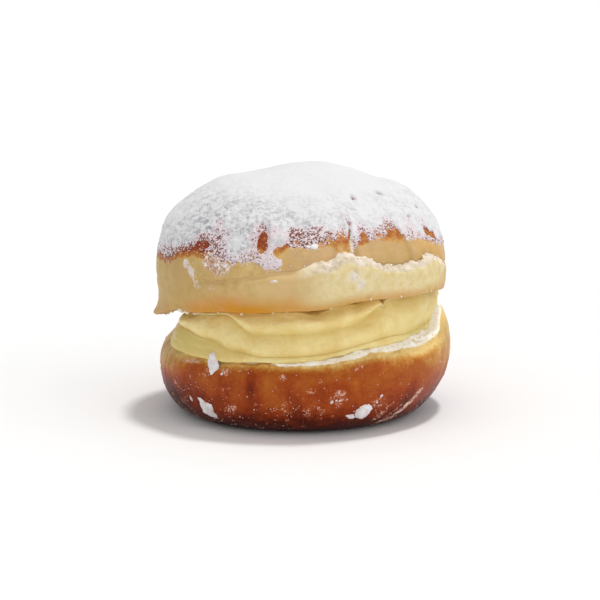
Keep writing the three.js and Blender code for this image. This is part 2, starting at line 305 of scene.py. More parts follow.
class Finish:
    """A material and short ways to add nodes to it. Each way returns the new node's output."""

    def __init__(self, name):
        self.material = bpy.data.materials.new(name)
        self.material.use_nodes = True
        self.tree = self.material.node_tree
        self.place = self.node("ShaderNodeTexCoord", {}, "Object")

    def feed(self, node, values):
        for key, value in values.items():
            if isinstance(value, bpy.types.NodeSocket):
                self.tree.links.new(value, node.inputs[key])
            else:
                node.inputs[key].default_value = value

    def node(self, kind, values, output=0, **settings):
        """Adds a node, with values or links for its inputs by their numbers or names."""
        node = self.tree.nodes.new(kind)
        for key, value in settings.items():
            setattr(node, key, value)
        self.feed(node, values)
        return node.outputs[output]

    def texture(self, kind, size, output, **values):
        return self.node(kind, {"Vector": self.place, "Scale": 1 / (size * MM), **values}, output)

    def noise(self, size, detail=2, roughness=0.5, distortion=0):
        values = {"Detail": detail, "Roughness": roughness, "Distortion": distortion}
        return self.texture("ShaderNodeTexNoise", size, "Fac", **values)

    def spots(self, size):
        return self.texture("ShaderNodeTexVoronoi", size, "Distance")

    def mask(self, name):
        return self.node("ShaderNodeAttribute", {}, "Fac", attribute_name=name)

    def sums(self, operation, *values, clamp=False):
        return self.node("ShaderNodeMath", dict(enumerate(values)), operation=operation, use_clamp=clamp)

    def times(self, first, second):
        return self.sums("MULTIPLY", first, second)

    def plus(self, first, second):
        return self.sums("ADD", first, second)

    def fade(self, value, low, high, start=0.0, end=1.0):
        values = dict(enumerate((value, low, high, start, end)))
        return self.node("ShaderNodeMapRange", values, interpolation_type="SMOOTHSTEP")

    def cloud(self, size, detail, roughness, low=0.3, high=0.7, start=0.0, end=1.0):
        """Noise with more contrast, which goes from the start value to the end value between low and high."""
        return self.fade(self.noise(size, detail, roughness), low, high, start, end)

    def mix(self, factor, first, second):
        return self.node("ShaderNodeMix", {0: factor, 6: tone(first), 7: tone(second)}, 2, data_type="RGBA")

    def tint(self, colour, mask, strength, towards):
        """A colour turned towards another one by a mask, at full strength or less."""
        return self.mix(self.times(self.mask(mask), strength), colour, towards)

    def ramp(self, factor, stops):
        output = self.node("ShaderNodeValToRGB", {0: factor})
        elements = output.node.color_ramp.elements
        while len(elements) < len(stops):
            elements.new(1)
        for element, (position, colour) in zip(elements, stops):
            element.position = position
            element.color = tone(colour)
        return output

    def bump(self, height, depth, **under):
        return self.node("ShaderNodeBump", {"Strength": 1, "Distance": depth * MM, "Height": height, **under})

    def finish(self, **values):
        shader = self.tree.nodes["Principled BSDF"]
        self.feed(shader, {name.replace("_", " "): value for name, value in values.items()})
        return self.material


def two_tone(name, size, detail, contrast, first, second, **values):
    """A plain material for small pieces, which wanders between two colours."""
    made = Finish(name)
    colour = made.mix(made.fade(made.noise(size, detail), *contrast), first, second)
    return made.finish(Base_Color=colour, **values)


def sugar_finish():
    """Icing sugar: white and powdery, greyed by painted shade between its lumps and down its sides, and where
    it lies thin, damp and pinkish with crust showing through.
    """
    made = Finish("icing_sugar")
    thin = made.mask("thin")
    painted_grey_shade = made.mask("painted_grey_shade")
    blotches = made.noise(1.5, 3, 0.6)
    fine = made.cloud(1.2, 5, 0.75, 0.42, 0.6)
    # Painted shade: grey mottles between the sugar's lumps, more down the dome's sides than on its top.
    mottles = made.times(made.cloud(5, 3, 0.6, 0.35, 0.62, 0.1), fine)
    white = made.mix(made.times(mottles, painted_grey_shade), (224, 223, 224), (176, 178, 180))
    # Painted shade: darker grey between the clots of sugar.
    shade_between_clots = made.fade(made.noise(2.4, 4, 0.65, 0.4), 0.46, 0.64)
    white = made.tint(white, "clotted", shade_between_clots, (146, 148, 153))
    damp = made.fade(made.plus(thin, made.fade(blotches, 0.3, 0.7, -0.3, 0.3)), 0.2, 0.9)
    colour = made.mix(damp, white, (222, 206, 209))
    dots = made.sums("MULTIPLY_ADD", made.spots(0.8), 0.5, made.noise(0.5, 3, 0.65))
    covered = made.sums("MULTIPLY_ADD", made.mask("bare"), 0.37, 0.33)
    covered = made.sums("MULTIPLY_ADD", painted_grey_shade, 0.05, covered)
    covered = made.sums("MULTIPLY_ADD", made.fade(blotches, 0.35, 0.65), 0.1, covered)
    shows = made.fade(made.sums("SUBTRACT", dots, covered), -0.03, 0.05, 1, 0)
    under = made.mix(made.fade(thin, 0.6, 1.05), (118, 92, 98), (132, 84, 72))
    colour = made.mix(shows, colour, under)
    powder = made.bump(made.noise(0.5, 3, 0.7), 0.12)
    lumps = made.bump(made.noise(2.2), 0.25, Normal=powder)
    return made.finish(Base_Color=colour, Roughness=0.95, Normal=lumps, Specular_IOR_Level=0.15)


def grain_finish():
    tones = [(232, 231, 233), (224, 212, 213)]
    return two_tone("sugar_grains", 2.5, 3, (0.4, 0.6), *tones, Roughness=0.9, Specular_IOR_Level=0.2)


def speck_finish():
    return two_tone("dull_specks", 1.5, 2, (0.4, 0.6), (207, 160, 132), (230, 202, 188), Roughness=0.7)


def blister_finish():
    return two_tone("dried_glaze", 1.2, 2, (0.4, 0.6), (176, 96, 54), (226, 176, 148), Roughness=0.35)


def crumb_finish():
    tones = [(234, 210, 178), (250, 242, 226)]
    return two_tone("bun_crumb", 1.5, 3, (0.35, 0.65), *tones, Roughness=0.9, Specular_IOR_Level=0.2)


def custard_finish():
    made = Finish("custard")
    streaks = made.fade(made.noise(9, 5, 0.7, 0.6), 0.3, 0.7)
    colour = made.ramp(streaks, [(0, (229, 203, 130)), (1, (241, 223, 161))])
    # Painted shade: deeper, duller yellow down in the creases between the folds.
    colour = made.tint(colour, "crease_shade", 0.45, (220, 190, 100))
    colour = made.mix(made.mask("shaded"), colour, (208, 186, 104))
    ripples = made.bump(made.noise(4), 0.3)
    grain = made.bump(made.noise(0.9), 0.03, Normal=ripples)
    return made.finish(
        Base_Color=colour, Roughness=0.42, Normal=grain, Specular_IOR_Level=0.3, Subsurface_Weight=0.4,
        Subsurface_Radius=(3, 2, 0.8), Subsurface_Scale=0.7 * MM,
    )


# Colours of crust, from the palest to the darkest.
CRUST_STOPS = [
    (0, (228, 196, 126)), (0.2, (200, 145, 68)), (0.4, (174, 94, 30)), (0.62, (156, 66, 16)),
    (0.82, (124, 42, 8)), (1, (72, 18, 6)),
]
LID_STOPS = [(0, (204, 163, 101)), (0.4, (184, 128, 60)), (0.7, (164, 88, 36)), (1, (132, 54, 22))]


def lower_crust_finish():
    """Fried crust that darkens downwards, partly browning and partly painted shade low down, with films of
    stuck sugar and a rim of pale torn crumb.
    """
    made = Finish("lower_crust")
    brown = made.plus(made.mask("brown"), made.cloud(7, 4, 0.6, start=-0.1, end=0.1))
    brown = made.sums("ADD", brown, made.cloud(1.1, 3, 0.6, start=-0.05, end=0.05), clamp=True)
    colour = made.tint(made.ramp(brown, CRUST_STOPS), "olive", 0.75, (168, 132, 68))
    dust = made.mask("dust")
    film = made.plus(dust, made.cloud(0.8, 4, 0.7, start=-0.5, end=0.5))
    film_colour = made.mix(made.fade(film, 0.6, 1.1), (204, 134, 100), (228, 206, 196))
    film = made.times(made.fade(film, 0.4, 0.8), made.fade(dust, 0, 0.2))
    colour = made.mix(film, colour, film_colour)
    pale = made.mask("crumb")
    crumb = made.mix(made.cloud(0.9, 3, 0.65, 0.3, 0.55), (246, 232, 202), (254, 250, 242))
    colour = made.mix(pale, colour, crumb)
    skin = made.bump(made.noise(0.7, 3, 0.6), 0.04)
    on_skin = made.fade(pale, 0, 0.3, 1, 0)
    blisters = made.times(made.fade(made.spots(1.6), 0.05, 0.3, 1, 0), on_skin)
    blisters = made.bump(blisters, 0.05, Normal=skin)
    rough = made.fade(pale, 0, 1, 0.4, 0.9)
    return made.finish(Base_Color=colour, Roughness=rough, Normal=blisters, Specular_IOR_Level=0.12)


def upper_crust_finish():
    """The lid: tan where the dough rose, browned by the sugar, with torn crumb and a golden lower edge."""
    made = Finish("upper_crust")
    mottle = made.cloud(3.5, 4, 0.6)
    colour = made.mix(mottle, (196, 161, 94), (219, 188, 130))
    colour = made.mix(made.times(made.cloud(14, 3, 0.55, 0.35, 0.65), 0.5), colour, (196, 154, 82))
    colour = made.mix(made.times(made.cloud(10, 2, 0.5, 0.42, 0.62), 0.45), colour, (210, 168, 124))
    uneven = made.fade(made.noise(4.5, 4, 0.65, 0.5), 0.32, 0.68, 0.35, 1)
    blotchy = made.cloud(2.2, 3, 0.6, 0.4, 0.6, end=0.7)
    # The olive tint also carries painted shade just above the ledge at the right.
    # The pale tint is painted light on the front of the slab.
    for mask, strength, towards in [
        ("band", uneven, (190, 156, 112)), ("olive", 0.55, (180, 152, 88)), ("pale", 0.5, (224, 196, 142)),
        ("gold", 1, (206, 138, 26)), ("blush", blotchy, (216, 150, 96)),
    ]:
        colour = made.tint(colour, mask, strength, towards)
    pale = made.mask("crumb")
    crumb = made.mix(made.cloud(2.4, 4, 0.6), (224, 204, 146), (234, 220, 176))
    colour = made.mix(pale, colour, crumb)
    colour = made.mix(made.mask("torn"), colour, made.mix(mottle, (206, 188, 160), (236, 224, 208)))
    scurf = made.mix(mottle, (218, 188, 160), (236, 220, 204))
    colour = made.tint(colour, "rough", made.cloud(1.5, 3, 0.6, 0.38, 0.56), scurf)
    brown = made.mask("brown")
    ragged = made.cloud(1.8, 3, 0.6, start=-0.2, end=0.2)
    brown = made.sums("MULTIPLY_ADD", made.fade(brown, 0, 0.3), ragged, brown, clamp=True)
    colour = made.mix(made.fade(brown, 0.02, 0.3), colour, made.ramp(brown, LID_STOPS))
    # Sugar dust, and one small painted highlight drawn as a smear.
    dust = made.mask("dust")
    powder = made.plus(dust, made.cloud(0.7, 3, 0.7, start=-0.25, end=0.25))
    powder = made.times(made.fade(powder, 0.2, 0.75), made.fade(dust, 0.05, 0.3))
    colour = made.mix(powder, colour, (228, 216, 212))
    skin = made.bump(made.noise(0.8, 3, 0.6), 0.05)
    rough = made.fade(pale, 0, 1, 0.5, 0.85)
    return made.finish(Base_Color=colour, Roughness=rough, Normal=skin, Specular_IOR_Level=0.2)


# The lower half of the bun.

LOWER_COLUMNS = 640
LOWER_FACE_STEPS = [1, 2, 10, 8, 8]
SHOULDER_ROWS = 25
BOWL_ROWS = 66
BOWL_END = 0.97  # share of the way round the bowl at which its foot begins
CRUST_THICKNESS = 1.2
RAGGED = 0.35  # how much of the tear's line the rim takes
BEVEL_OUT = 0.6  # where the torn rim bends, as shares of the way out to the crust's edge and up to it
BEVEL_UP = 0.4
SHOULDER_ROUNDNESS = 2.2
BOWL_FULLNESS = 0.8  # below 1, the bowl is fuller at its bottom corner
EVEN_BELOW = 6  # the dough's waves fade out under this height
CRUST_INSET = 0.18  # keeps the rough crust, and what lies on it, inside the solids' box
WRINKLE_RADIUS = 26
SMEAR_RADIUS = 45

# How brown the lower crust is at a share of the way down from its edge to the floor, where its darkening is
# partly fried browning and partly painted shade low down, how much paler than that it is round the bun, and
# how deep its wrinkles are.
BROWN_DOWN = [[0, 0.08], [0.028, 0.25], [0.08, 0.47], [0.3, 0.6], [0.55, 0.7], [0.8, 0.92], [1, 1.1]]
PALER = [
    [-180, 0.06], [-120, 0.1], [-95, 0.3], [-72, 0.28], [-58, 0.04], [-20, -0.06], [10, 0], [40, 0.1],
    [60, 0.18], [72, 0.3], [88, 0.42], [110, 0.14], [145, 0.16],
]
WRINKLES = [
    [-180, 0.12], [-105, 0.3], [-78, 0.34], [-60, 0.16], [-40, 0.03], [60, 0.03], [80, 0.1], [120, 0.2],
]

# Darker and paler patches: degrees of turn, height, half width in degrees, half height, and how much browner.
CRUST_PATCHES = [
    [-21.5, 18.5, 2.2, 4.6, 0.2], [-13, 15, 6, 6, -0.12], [-34, 18.5, 2.4, 2.6, 0.1], [24, 18, 9, 5, -0.07],
    [-68, 9, 16, 7.5, 0.24], [-52, 16, 5, 5, 0.08], [-44, 10, 5, 6, 0.1], [48, 12, 4, 5, 0.1],
    [104, 17, 6, 5, 0.14], [150, 20, 9, 6, -0.1], [-140, 18, 7, 5, 0.12],
]

# Where the crust is a pale olive tan: the same values, with how strongly.
OLIVE_PATCHES = [[-78, 22.5, 17, 5.6, 0.95], [83, 26.5, 15, 5.6, 0.75], [170, 28, 22, 4, 0.4]]

# How far above the crust's edge its golden rim ends and the pale crumb starts.
CRUMB_START = [
    [-180, 0.3], [-90, 0.6], [-66, 1.2], [-20, 1.2], [-6, 0.5], [10, 0.6], [30, 1.1], [60, 1.6], [80, 0.9],
    [110, 0.4],
]

# Smears of sugar on the crust: two ends as degrees of turn and height, the half width and the strength.
CRUST_SMEARS = [
    [55.5, 12.4, 49, 7.8, 1.4, 0.85], [49, 7.8, 43.8, 3.9, 1.6, 0.9], [43.8, 3.9, 38, 2.4, 1.2, 0.8],
    [45, 8.4, 39, 4.2, 0.6, 0.65], [36, 6.6, 32.5, 4, 0.6, 0.7], [39, 10, 36, 8.4, 0.5, 0.6],
    [-57, 22, -48, 23.2, 1, 0.75], [-140, 9, -133, 5, 1, 0.8], [128, 15, 124, 7, 0.9, 0.8],
    [170, 5, 177, 4, 1, 0.7],
]

# Patches where sugar stuck to the crust as a film or in specks: degrees of turn, height, half width in
# degrees, half height, and strength.
CRUST_FILMS = [
    [13.9, 14.1, 3.8, 3, 0.72], [31.3, 11.2, 3, 2.4, 0.62], [20.4, 24.3, 2.6, 2, 0.38],
    [34.6, 5.9, 3, 1.7, 0.6], [62.8, 23.7, 1.4, 0.9, 0.65], [68.6, 19.6, 1.7, 1.1, 0.55],
    [4.7, 9.3, 5, 2.8, 0.48], [2.6, 16.9, 2.4, 1.2, 0.4], [-18.5, 10.9, 2.2, 1.4, 0.8],
    [-8.5, 21.3, 1.7, 1.1, 0.75], [-29.5, 8.8, 4, 2.3, 0.5], [-33.2, 21.6, 2.3, 1.6, 0.65],
    [-34.1, 14.9, 1.6, 1.9, 0.55], [-31, 17, 1.4, 1.7, 0.45], [-42.5, 20.4, 2, 1.8, 0.55],
    [-48.4, 16.4, 1.2, 1, 0.6], [-49.4, 13.1, 1.2, 1, 0.55], [-62, 13.8, 1.6, 1.1, 0.55],
    [-59.5, 7.7, 1.5, 1, 0.55], [-5.6, 10.8, 3.8, 3, 0.38], [100, 12, 5, 3, 0.5], [118, 8, 6, 3, 0.5],
    [150, 13, 5, 4, 0.45], [-170, 10, 6, 3, 0.55], [-145, 16, 4, 3, 0.5], [-115, 8, 6, 3, 0.55],
    [-90, 12, 4, 3, 0.5],
]


def lower_face(turn, radius):
    edge = around(CRUST_EDGE, turn) + around(TORN_CRUMB, turn)
    return lerp(BASE_CENTRE_HEIGHT, edge, radius / BUN_RADIUS)


def lower_outline(turn, edge, inset):
    """Radii and heights of rows from the middle of the cut face, over the rim and down to the middle of the
    foot, and how many of them are on the face."""
    edge_radius = BUN_RADIUS - inset
    crumb_radius = edge_radius - CRUST_THICKNESS - around(TORN_CRUMB, turn) / 2
    shelf = lower_face(turn, crumb_radius) + RAGGED * tear(turn, 1)
    bevel = lerp(shelf, edge, BEVEL_UP) - RAGGED * tear(turn, 2)
    face = smooth_through([
        *flat_rings(turn, lower_face, FACE_RINGS), [crumb_radius, shelf],
        [lerp(crumb_radius, edge_radius, BEVEL_OUT), bevel], [edge_radius, edge],
    ], LOWER_FACE_STEPS)
    belly = BELLY_HEIGHT + BELLY_TILT * np.sin(turn)
    down = np.linspace(0, 1, SHOULDER_ROWS + 2)[1:-1, None]
    shoulder = [BUN_RADIUS - inset * (1 - down) ** SHOULDER_ROUNDNESS, lerp(edge, belly, down)]
    fall = np.linspace(0, BOWL_END, BOWL_ROWS)[:, None] * (math.pi / 2)
    wide = lerp(FOOT_RADIUS, BUN_RADIUS, np.cos(fall) ** BOWL_FULLNESS)
    bowl = [wide + 0 * turn, belly * (1 - np.sin(fall))]
    foot = [np.array([[FOOT_RADIUS], [FOOT_RADIUS / 2], [0]]) + 0 * turn, np.zeros((3, len(turn)))]
    radius, height = [np.concatenate(rows) for rows in zip(face, shoulder, bowl, foot)]
    return radius, height, len(face[0])


def upright_noise(turn, height, stretch, size, seed):
    """Noise on the lower half's side, stretched so that its swells stand upright."""
    return soft_noise(on_meridian(turn, WRINKLE_RADIUS, height / stretch), size, seed)


def stuck_sugar(turn, height, smooth):
    """How much sugar is stuck to the crust, in patches and smears."""
    stuck = patches(turn, height, CRUST_FILMS) * np.clip(0.75 + 1.1 * soft_noise(smooth, 2.8, 32), 0, 1.3)
    smears = strokes(turn, height, CRUST_SMEARS, SMEAR_RADIUS) * (0.85 + 0.4 * soft_noise(smooth, 1.8, 32))
    return np.maximum(stuck, smears)


def lower_bun():
    """Makes the lower half. Returns its surface's points and normals, and where loose things lie on it."""
    turn = turns(LOWER_COLUMNS)
    edge = around(CRUST_EDGE, turn) + RAGGED * tear(turn)
    inset = around(RIM_INSET, turn)
    radius, height, face_rows = lower_outline(turn, edge, inset)
    on_crust = np.arange(len(height))[:, None] >= face_rows - 1
    smooth = on_meridian(turn, radius, height)
    folds = around(WRINKLES, turn) * smoothstep(height, 4, 16)
    wrinkled = folds * upright_noise(turn, height, 9, 1.9, 5)
    streaks = folds * upright_noise(turn, height, 12, 1.1, 6)
    uneven = waves(turn, height, DOUGH_WAVES) + wrinkled + 0.12 * rough_noise(smooth, 6, 2, 9) - CRUST_INSET
    edge_radius = BUN_RADIUS - inset
    near_rim = np.where(on_crust, 1, smoothstep(radius - edge_radius, -5, 0))
    radius = radius + uneven * smoothstep(height, 0, EVEN_BELOW) * near_rim
    points = on_meridian(turn, radius, height, BELLY_SHIFT * smoothstep(height, 0, BELLY_HEIGHT))
    below_edge = np.where(on_crust, edge - height, -1)
    torn = (1 - smoothstep(below_edge, -0.1, 0.5)) * smoothstep(radius, 34, 38)
    crumbs = 0.9 * rough_noise(smooth, 2.8, 3, 21) - 0.3 * smoothstep(-spot_distance(smooth, 1.5, 4), -0.4, 0)
    points = raised(points, grid_normals(points), crumbs * torn * around(TORN_CRUMB, turn) / 3)

    # Browner downwards: fried browning, with painted shade in the darkest part near the floor.
    brown = np.interp(np.clip(1 - height / edge, 0, 1), *np.array(BROWN_DOWN).T)
    brown = brown - around(PALER, turn) * smoothstep(height, 9, 23)
    brown = brown + 0.6 * wrinkled + 0.6 * streaks + patches(turn, height, CRUST_PATCHES)
    olive = patches(turn, height, OLIVE_PATCHES) * np.clip(0.8 + streaks, 0, 1)
    rise = height - edge + 0.25 * soft_noise(smooth, 1.6, 8) - around(CRUMB_START, turn)
    crumb = np.maximum(smoothstep(rise, -0.2, 0.2), smoothstep(edge_radius - radius, 0.9, 1.6))
    crumb = np.where(on_crust, 0, crumb)
    dusty = soft_noise(smooth, 9, 31) + 0.5 * smoothstep(-height, -12, -3)
    stuck = stuck_sugar(turn, height, smooth)
    masks = {
        "brown": brown - 0.12 * olive,
        "olive": olive,
        "crumb": crumb,
        "dust": np.maximum(0.16 * smoothstep(dusty, 0.3, 1.1), stuck),
    }
    piece = body_from_grid("lower_bun", points, masks, lower_crust_finish())
    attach(piece, "root")
    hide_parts("bun_base")
    return (points, grid_normals(points)), {
        "rim": np.where(on_crust, 0, smoothstep(radius, 43, 45.5)) * crumb,
        "stuck": stuck,
        "crust": on_crust * (height > 0.8) * (below_edge > 0.4),
    }


# The custard between the halves.

CUSTARD_COLUMNS = 480
CUSTARD_RINGS = (*FACE_RINGS, 40)
CREASE_DEPTH = 0.1
FOLD_ROUNDNESS = 0.32  # how far a fold swells out, for its height
FOLD_SAG = 1.15  # above 1, a fold swells most below its middle
MOST_SWELL = 1.9
# The folds from the top down: how far out each lies, its rows, and how pointed it is: below 1 it is full.
FOLDS = [[0, 26, 1.2], [0.1, 34, 1], [0.15, 30, 0.5]]
# How far the custard's foot spreads over the crumb, and slits over its top: turn, width and depth.
CREAM_SPREAD = [[-180, 0.3], [-80, 0.8], [-66, 1.2], [-24, 1.3], [-8, 0.6], [10, 0.3], [60, 0], [110, 0.2]]
SLITS = [[6, 4, 1.5], [37.5, 1.2, 1.8], [24, 3, 0.9], [-58, 3, 1], [140, 4, 1.4], [-130, 3, 1.2]]


def upper_face(turn, radius):
    return lerp(LID_CENTRE_HEIGHT, around(LID_EDGE, turn), radius / BUN_RADIUS)


def custard():
    turn = turns(CUSTARD_COLUMNS)
    foot_radius = around(CREAM_FOOT_RADIUS, turn)
    top_radius = around(CREAM_TOP_RADIUS, turn)
    spread = around(CREAM_SPREAD, turn)
    bottom = lower_face(turn, foot_radius) + FIT_GAP - 0.4 * spread
    top = upper_face(turn, top_radius) - 2 * FIT_GAP
    slit = sum(depth * hump(turn, at, wide) for at, wide, depth in SLITS)
    creases = [1 + 0 * turn, around(UPPER_FOLD, turn), around(LOWER_FOLD, turn), 0 * turn]
    side = []
    for (out, count, pointed), high, low in zip(FOLDS, creases, creases[1:]):
        bulge = np.minimum(MOST_SWELL, FOLD_ROUNDNESS * (high - low) * (top - bottom))
        for down in np.arange(count) / count:
            share = lerp(high, low, down)
            shape = math.sin(math.pi * down**FOLD_SAG) ** pointed
            height = lerp(bottom, top, share)
            swell = bulge * shape - CREASE_DEPTH * (1 - shape) ** 3
            swell = swell + spread * (1 - smoothstep(share, 0, 0.25))
            radius = lerp(foot_radius, top_radius, share) + out + swell + waves(turn, height, CREAM_WAVES)
            # The third value is how far into a crease the row lies, for painted shade there.
            side.append([radius, height - slit * smoothstep(share, 0.75, 1), (1 - shape) ** 1.5 + 0 * turn])
    hidden = 1 + 0 * turn
    above = [[*ring, hidden] for ring in flat_rings(turn, upper_face, CUSTARD_RINGS, -FIT_GAP)]
    foot = [foot_radius + spread - CREASE_DEPTH, bottom, hidden]
    below = [[*ring, hidden] for ring in flat_rings(turn, lower_face, CUSTARD_RINGS, FIT_GAP)[::-1]]
    radius, height, crease_shade = np.moveaxis(np.array([*above, *side, foot, *below]), 1, 0)
    points = on_meridian(turn, radius, height)
    smears = 0.45 * rough_noise(points * [1, 1, 2.2], 11, 3, 41) + 0.05 * soft_noise(points, 1.6, 43)
    points = raised(points, grid_normals(points), smears * smoothstep(radius, 38, 42))
    lower_crease = lerp(bottom, top, creases[2])
    shaded = hump(turn, -62, 26) * (1 - smoothstep(height - lower_crease, -1.2, 0.2))
    shaded = np.maximum(shaded, 0.4 * hump(turn, 64, 24))
    piece = body_from_grid("custard_folds", points, {"crease_shade": crease_shade, "shaded": shaded}, custard_finish())
    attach(piece, "root")
    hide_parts("custard")


# The lid's crust, which the icing sugar follows.

LID_COLUMNS = 720
# Broad swells and hollows of the crown: their x, y, spread and rise.
CROWN_SWELLS = [[6, 10, 13, 1.3], [-27, 8, 8, 1.3], [22, 12, 8, -0.9], [-16, 12, 10, -1.3], [34, 4, 9, 0.6]]
# Upright creases in the pale band: degrees of turn, width in degrees and depth.
BAND_CREASES = [
    [12.5, 1.3, 0.5], [21.8, 1.1, 0.8], [35.5, 1.8, 0.35], [47.8, 1, 0.8], [70, 2.2, 0.4], [-22, 2.4, 0.25],
    [-66, 2, 0.3], [101, 1.6, 0.5], [133, 1.4, 0.6], [166, 2, 0.45], [-151, 1.5, 0.6], [-117, 2.2, 0.4],
]


def dome_height(lean):
    climb = np.sign(lean) * np.abs(np.sin(lean)) ** (2 / DOME_POWER)
    return lerp(LID_WIDEST_HEIGHT, TOP_HEIGHT, climb)


def dome_climb(height):
    return (height - LID_WIDEST_HEIGHT) / (TOP_HEIGHT - LID_WIDEST_HEIGHT)


def dome_lean(height):
    climb = dome_climb(height)
    return np.sign(climb) * np.arcsin(np.abs(climb) ** (DOME_POWER / 2))


def wall_radius(height):
    climb = dome_climb(height)
    over = 1 - np.clip(climb, 0, 1) ** DOME_POWER
    return np.where(climb > 0, LID_RADIUS * over ** (1 / DOME_POWER), LID_RADIUS - LOWER_INSET * climb**2)


def band_relief(turn, height):
    """Upright creases, each with a soft ridge beside it, where the dough stretched over the ledge."""
    total = 0
    for at, width, depth in BAND_CREASES:
        ridge = 0.6 * depth * hump(turn, at + 2 * width, 1.6 * width)
        total = total - depth * hump(turn, at, width) + ridge
    return total * smoothstep(height, 44, 50) * (1 - smoothstep(height, 64, 72))


def lid_relief(turn, radius, height):
    return waves(turn, height, DOUGH_WAVES) + 0.14 * rough_noise(on_meridian(turn, radius, height), 7, 2, 3)


def lid_crust(turn, lean):
    """Points of the crust at a turn and a lean: 0 is where the lid is widest, and a quarter turn its top."""
    height = dome_height(lean)
    radius = wall_radius(height)
    uneven = lid_relief(turn, radius, height) + band_relief(turn, height)
    out = radius + uneven * smoothstep(radius, 0, LID_RADIUS / 2)
    up_dome = smoothstep(height, LID_WIDEST_HEIGHT, TOP_HEIGHT)
    points = on_meridian(turn, out, height, LID_SHIFT, APEX_BACK * up_dome)
    swell = sum(
        rise * np.exp(-((points[..., 0] - x) ** 2 + (points[..., 1] - y) ** 2) / spread**2)
        for x, y, spread, rise in CROWN_SWELLS
    )
    points[..., 2] += swell * up_dome
    return points


# The sugar's lower limit in more detail than the solid's: degrees of turn and height.
SUGAR_LIMIT = [
    [-180, 53], [-150, 56], [-125, 52.6], [-100, 54.8], [-88, 55.4], [-72, 55.6], [-64.6, 56.6],
    [-57.6, 59.5], [-48, 62.6], [-44, 61.6], [-41, 58.9], [-33, 57.2], [-29.5, 57], [-25, 58.8],
    [-21, 58.8], [-12.7, 57.2], [-8.6, 56.6], [-7, 63.6], [0, 64.2], [7.5, 64], [13.5, 66], [19.6, 67.6],
    [21, 64.4], [23, 63.8], [27, 65.6], [34.5, 64.9], [38, 65.5], [42, 67.8], [47.5, 67.6], [49.4, 63.6],
    [57.7, 62.8], [72.6, 59.4], [78, 58.4], [96, 56.5], [120, 58], [138, 53.6], [160, 56],
]
# How wide the band of thin sugar over that limit is, and how much of it is gone.
THIN_BAND = [
    [-180, 6], [-88, 4], [-68, 4.5], [-56, 5], [-46, 8], [-35, 9.5], [-26, 7], [-18, 10], [-8, 7], [0, 6],
    [15, 5], [22, 6], [30, 6.5], [45, 5], [60, 6], [78, 4], [120, 7],
]
PATCHY = [
    [-180, 0.6], [-88, 0.6], [-72, 0.8], [-50, 0.75], [-38, 0.65], [-31, 0.6], [-27, 0.3], [-21, 0.5],
    [-17.5, 0.55], [-15.5, 0.12], [-9, 0.05], [-6, 0.9], [8, 0.9], [18, 0.65], [21, 0.25], [24, 0.5],
    [28, 0.75], [37, 0.55], [44, 0.8], [49, 0.5], [60, 0.5], [70, 0.75], [84, 0.6], [120, 0.7],
]

# Patches that the sugar left bare: degrees of turn, height, half width in degrees, half height, and depth.
BARE_PATCHES = [
    [-17.8, 68, 2.7, 3, 12], [-16.6, 64.8, 3.1, 3, 12], [-9.4, 62.8, 3.4, 2.3, 12], [69, 64, 3, 1.7, 8],
    [73, 62.4, 2.6, 1.2, 8], [28, 66.4, 1.7, 1.1, 8], [-44.4, 62.8, 4.4, 1, 7], [112, 62, 4, 2, 8],
    [-140, 61, 3, 2.4, 8], [171, 60, 5, 1.6, 8], [-37, 64.8, 1, 0.9, 6], [-33.5, 66.5, 0.8, 0.7, 6],
]
# Narrow cracks through the sugar: two ends as degrees of turn and height, the half width and the strength.
SUGAR_CRACKS = [
    [23.8, 71, 23.2, 69.6, 0.3, 1], [23.2, 69.6, 20.6, 65.6, 0.45, 1], [10.8, 70.4, 6.6, 67.8, 0.3, 0.55],
    [-128, 66, -123, 61, 0.4, 1], [149, 64, 153, 59, 0.4, 1],
]
CRACK_DEPTH = 8
CRACK_RADIUS = 40
ARC_PER_LEAN = 41  # mm along the crust for each radian of lean


def sugar_cover(turn, lean, points):
    """How far inside the sugar's ragged edge a place on the crust is, in mm. Bare crust is negative."""
    height = dome_height(lean)
    cover = (lean - dome_lean(around(SUGAR_LIMIT, turn))) * ARC_PER_LEAN
    cover = cover + 1.1 * soft_noise(points, 3.4, 51) + 0.8 * soft_noise(points, 1.5, 52)
    cracks = CRACK_DEPTH * strokes(turn, height, SUGAR_CRACKS, CRACK_RADIUS)
    return cover - patches(turn, height, BARE_PATCHES) - cracks


# The upper half of the bun: that crust down to the ledge, and the cut slab under it.

CROWN_ROWS = 28
BAND_ROWS = 24
SLAB_STEPS = [7, 7, 12, 12, 8, 5, 3, 3, 2, 1]
FACE_ROWS = 8  # rows on the cut face
LID_FACE_RADIUS = 45  # of the outermost ring of the lid's cut face
LEDGE_STEP = 0.7  # how far over the ledge the crust ends
LEDGE_RAGGED = 0.9
SEAM = 0.15
LIP_OUT = 1.6
LIP_HEIGHT = 1.4
UNDERCUT = 1.6  # how far the slab's underside rounds in
# The slab flares out at its drooping end.
FLAP = {"at": -89, "spread": 17, "out": 5.4, "curl": 2.4}
FINE_TEAR = [[0.7, 2.6, 61], [0.4, 1.1, 62]]
# How deep the groove over the ledge is, and how golden the slab's lower edge is.
LEDGE_GROOVE = [
    [-180, 0.2], [-150, 0.9], [-128, 0.3], [-95, 0.5], [-74, 0], [-50, 0], [-38, 1], [84, 1], [110, 0.3],
    [135, 0.9], [160, 0.5],
]
GOLDEN = [
    [-180, 0.5], [-90, 0.15], [-60, 0.2], [-44, 0.8], [-20, 1], [-6, 0.7], [16, 0.3], [40, 0.3], [60, 0.1],
    [84, 0.3],
]

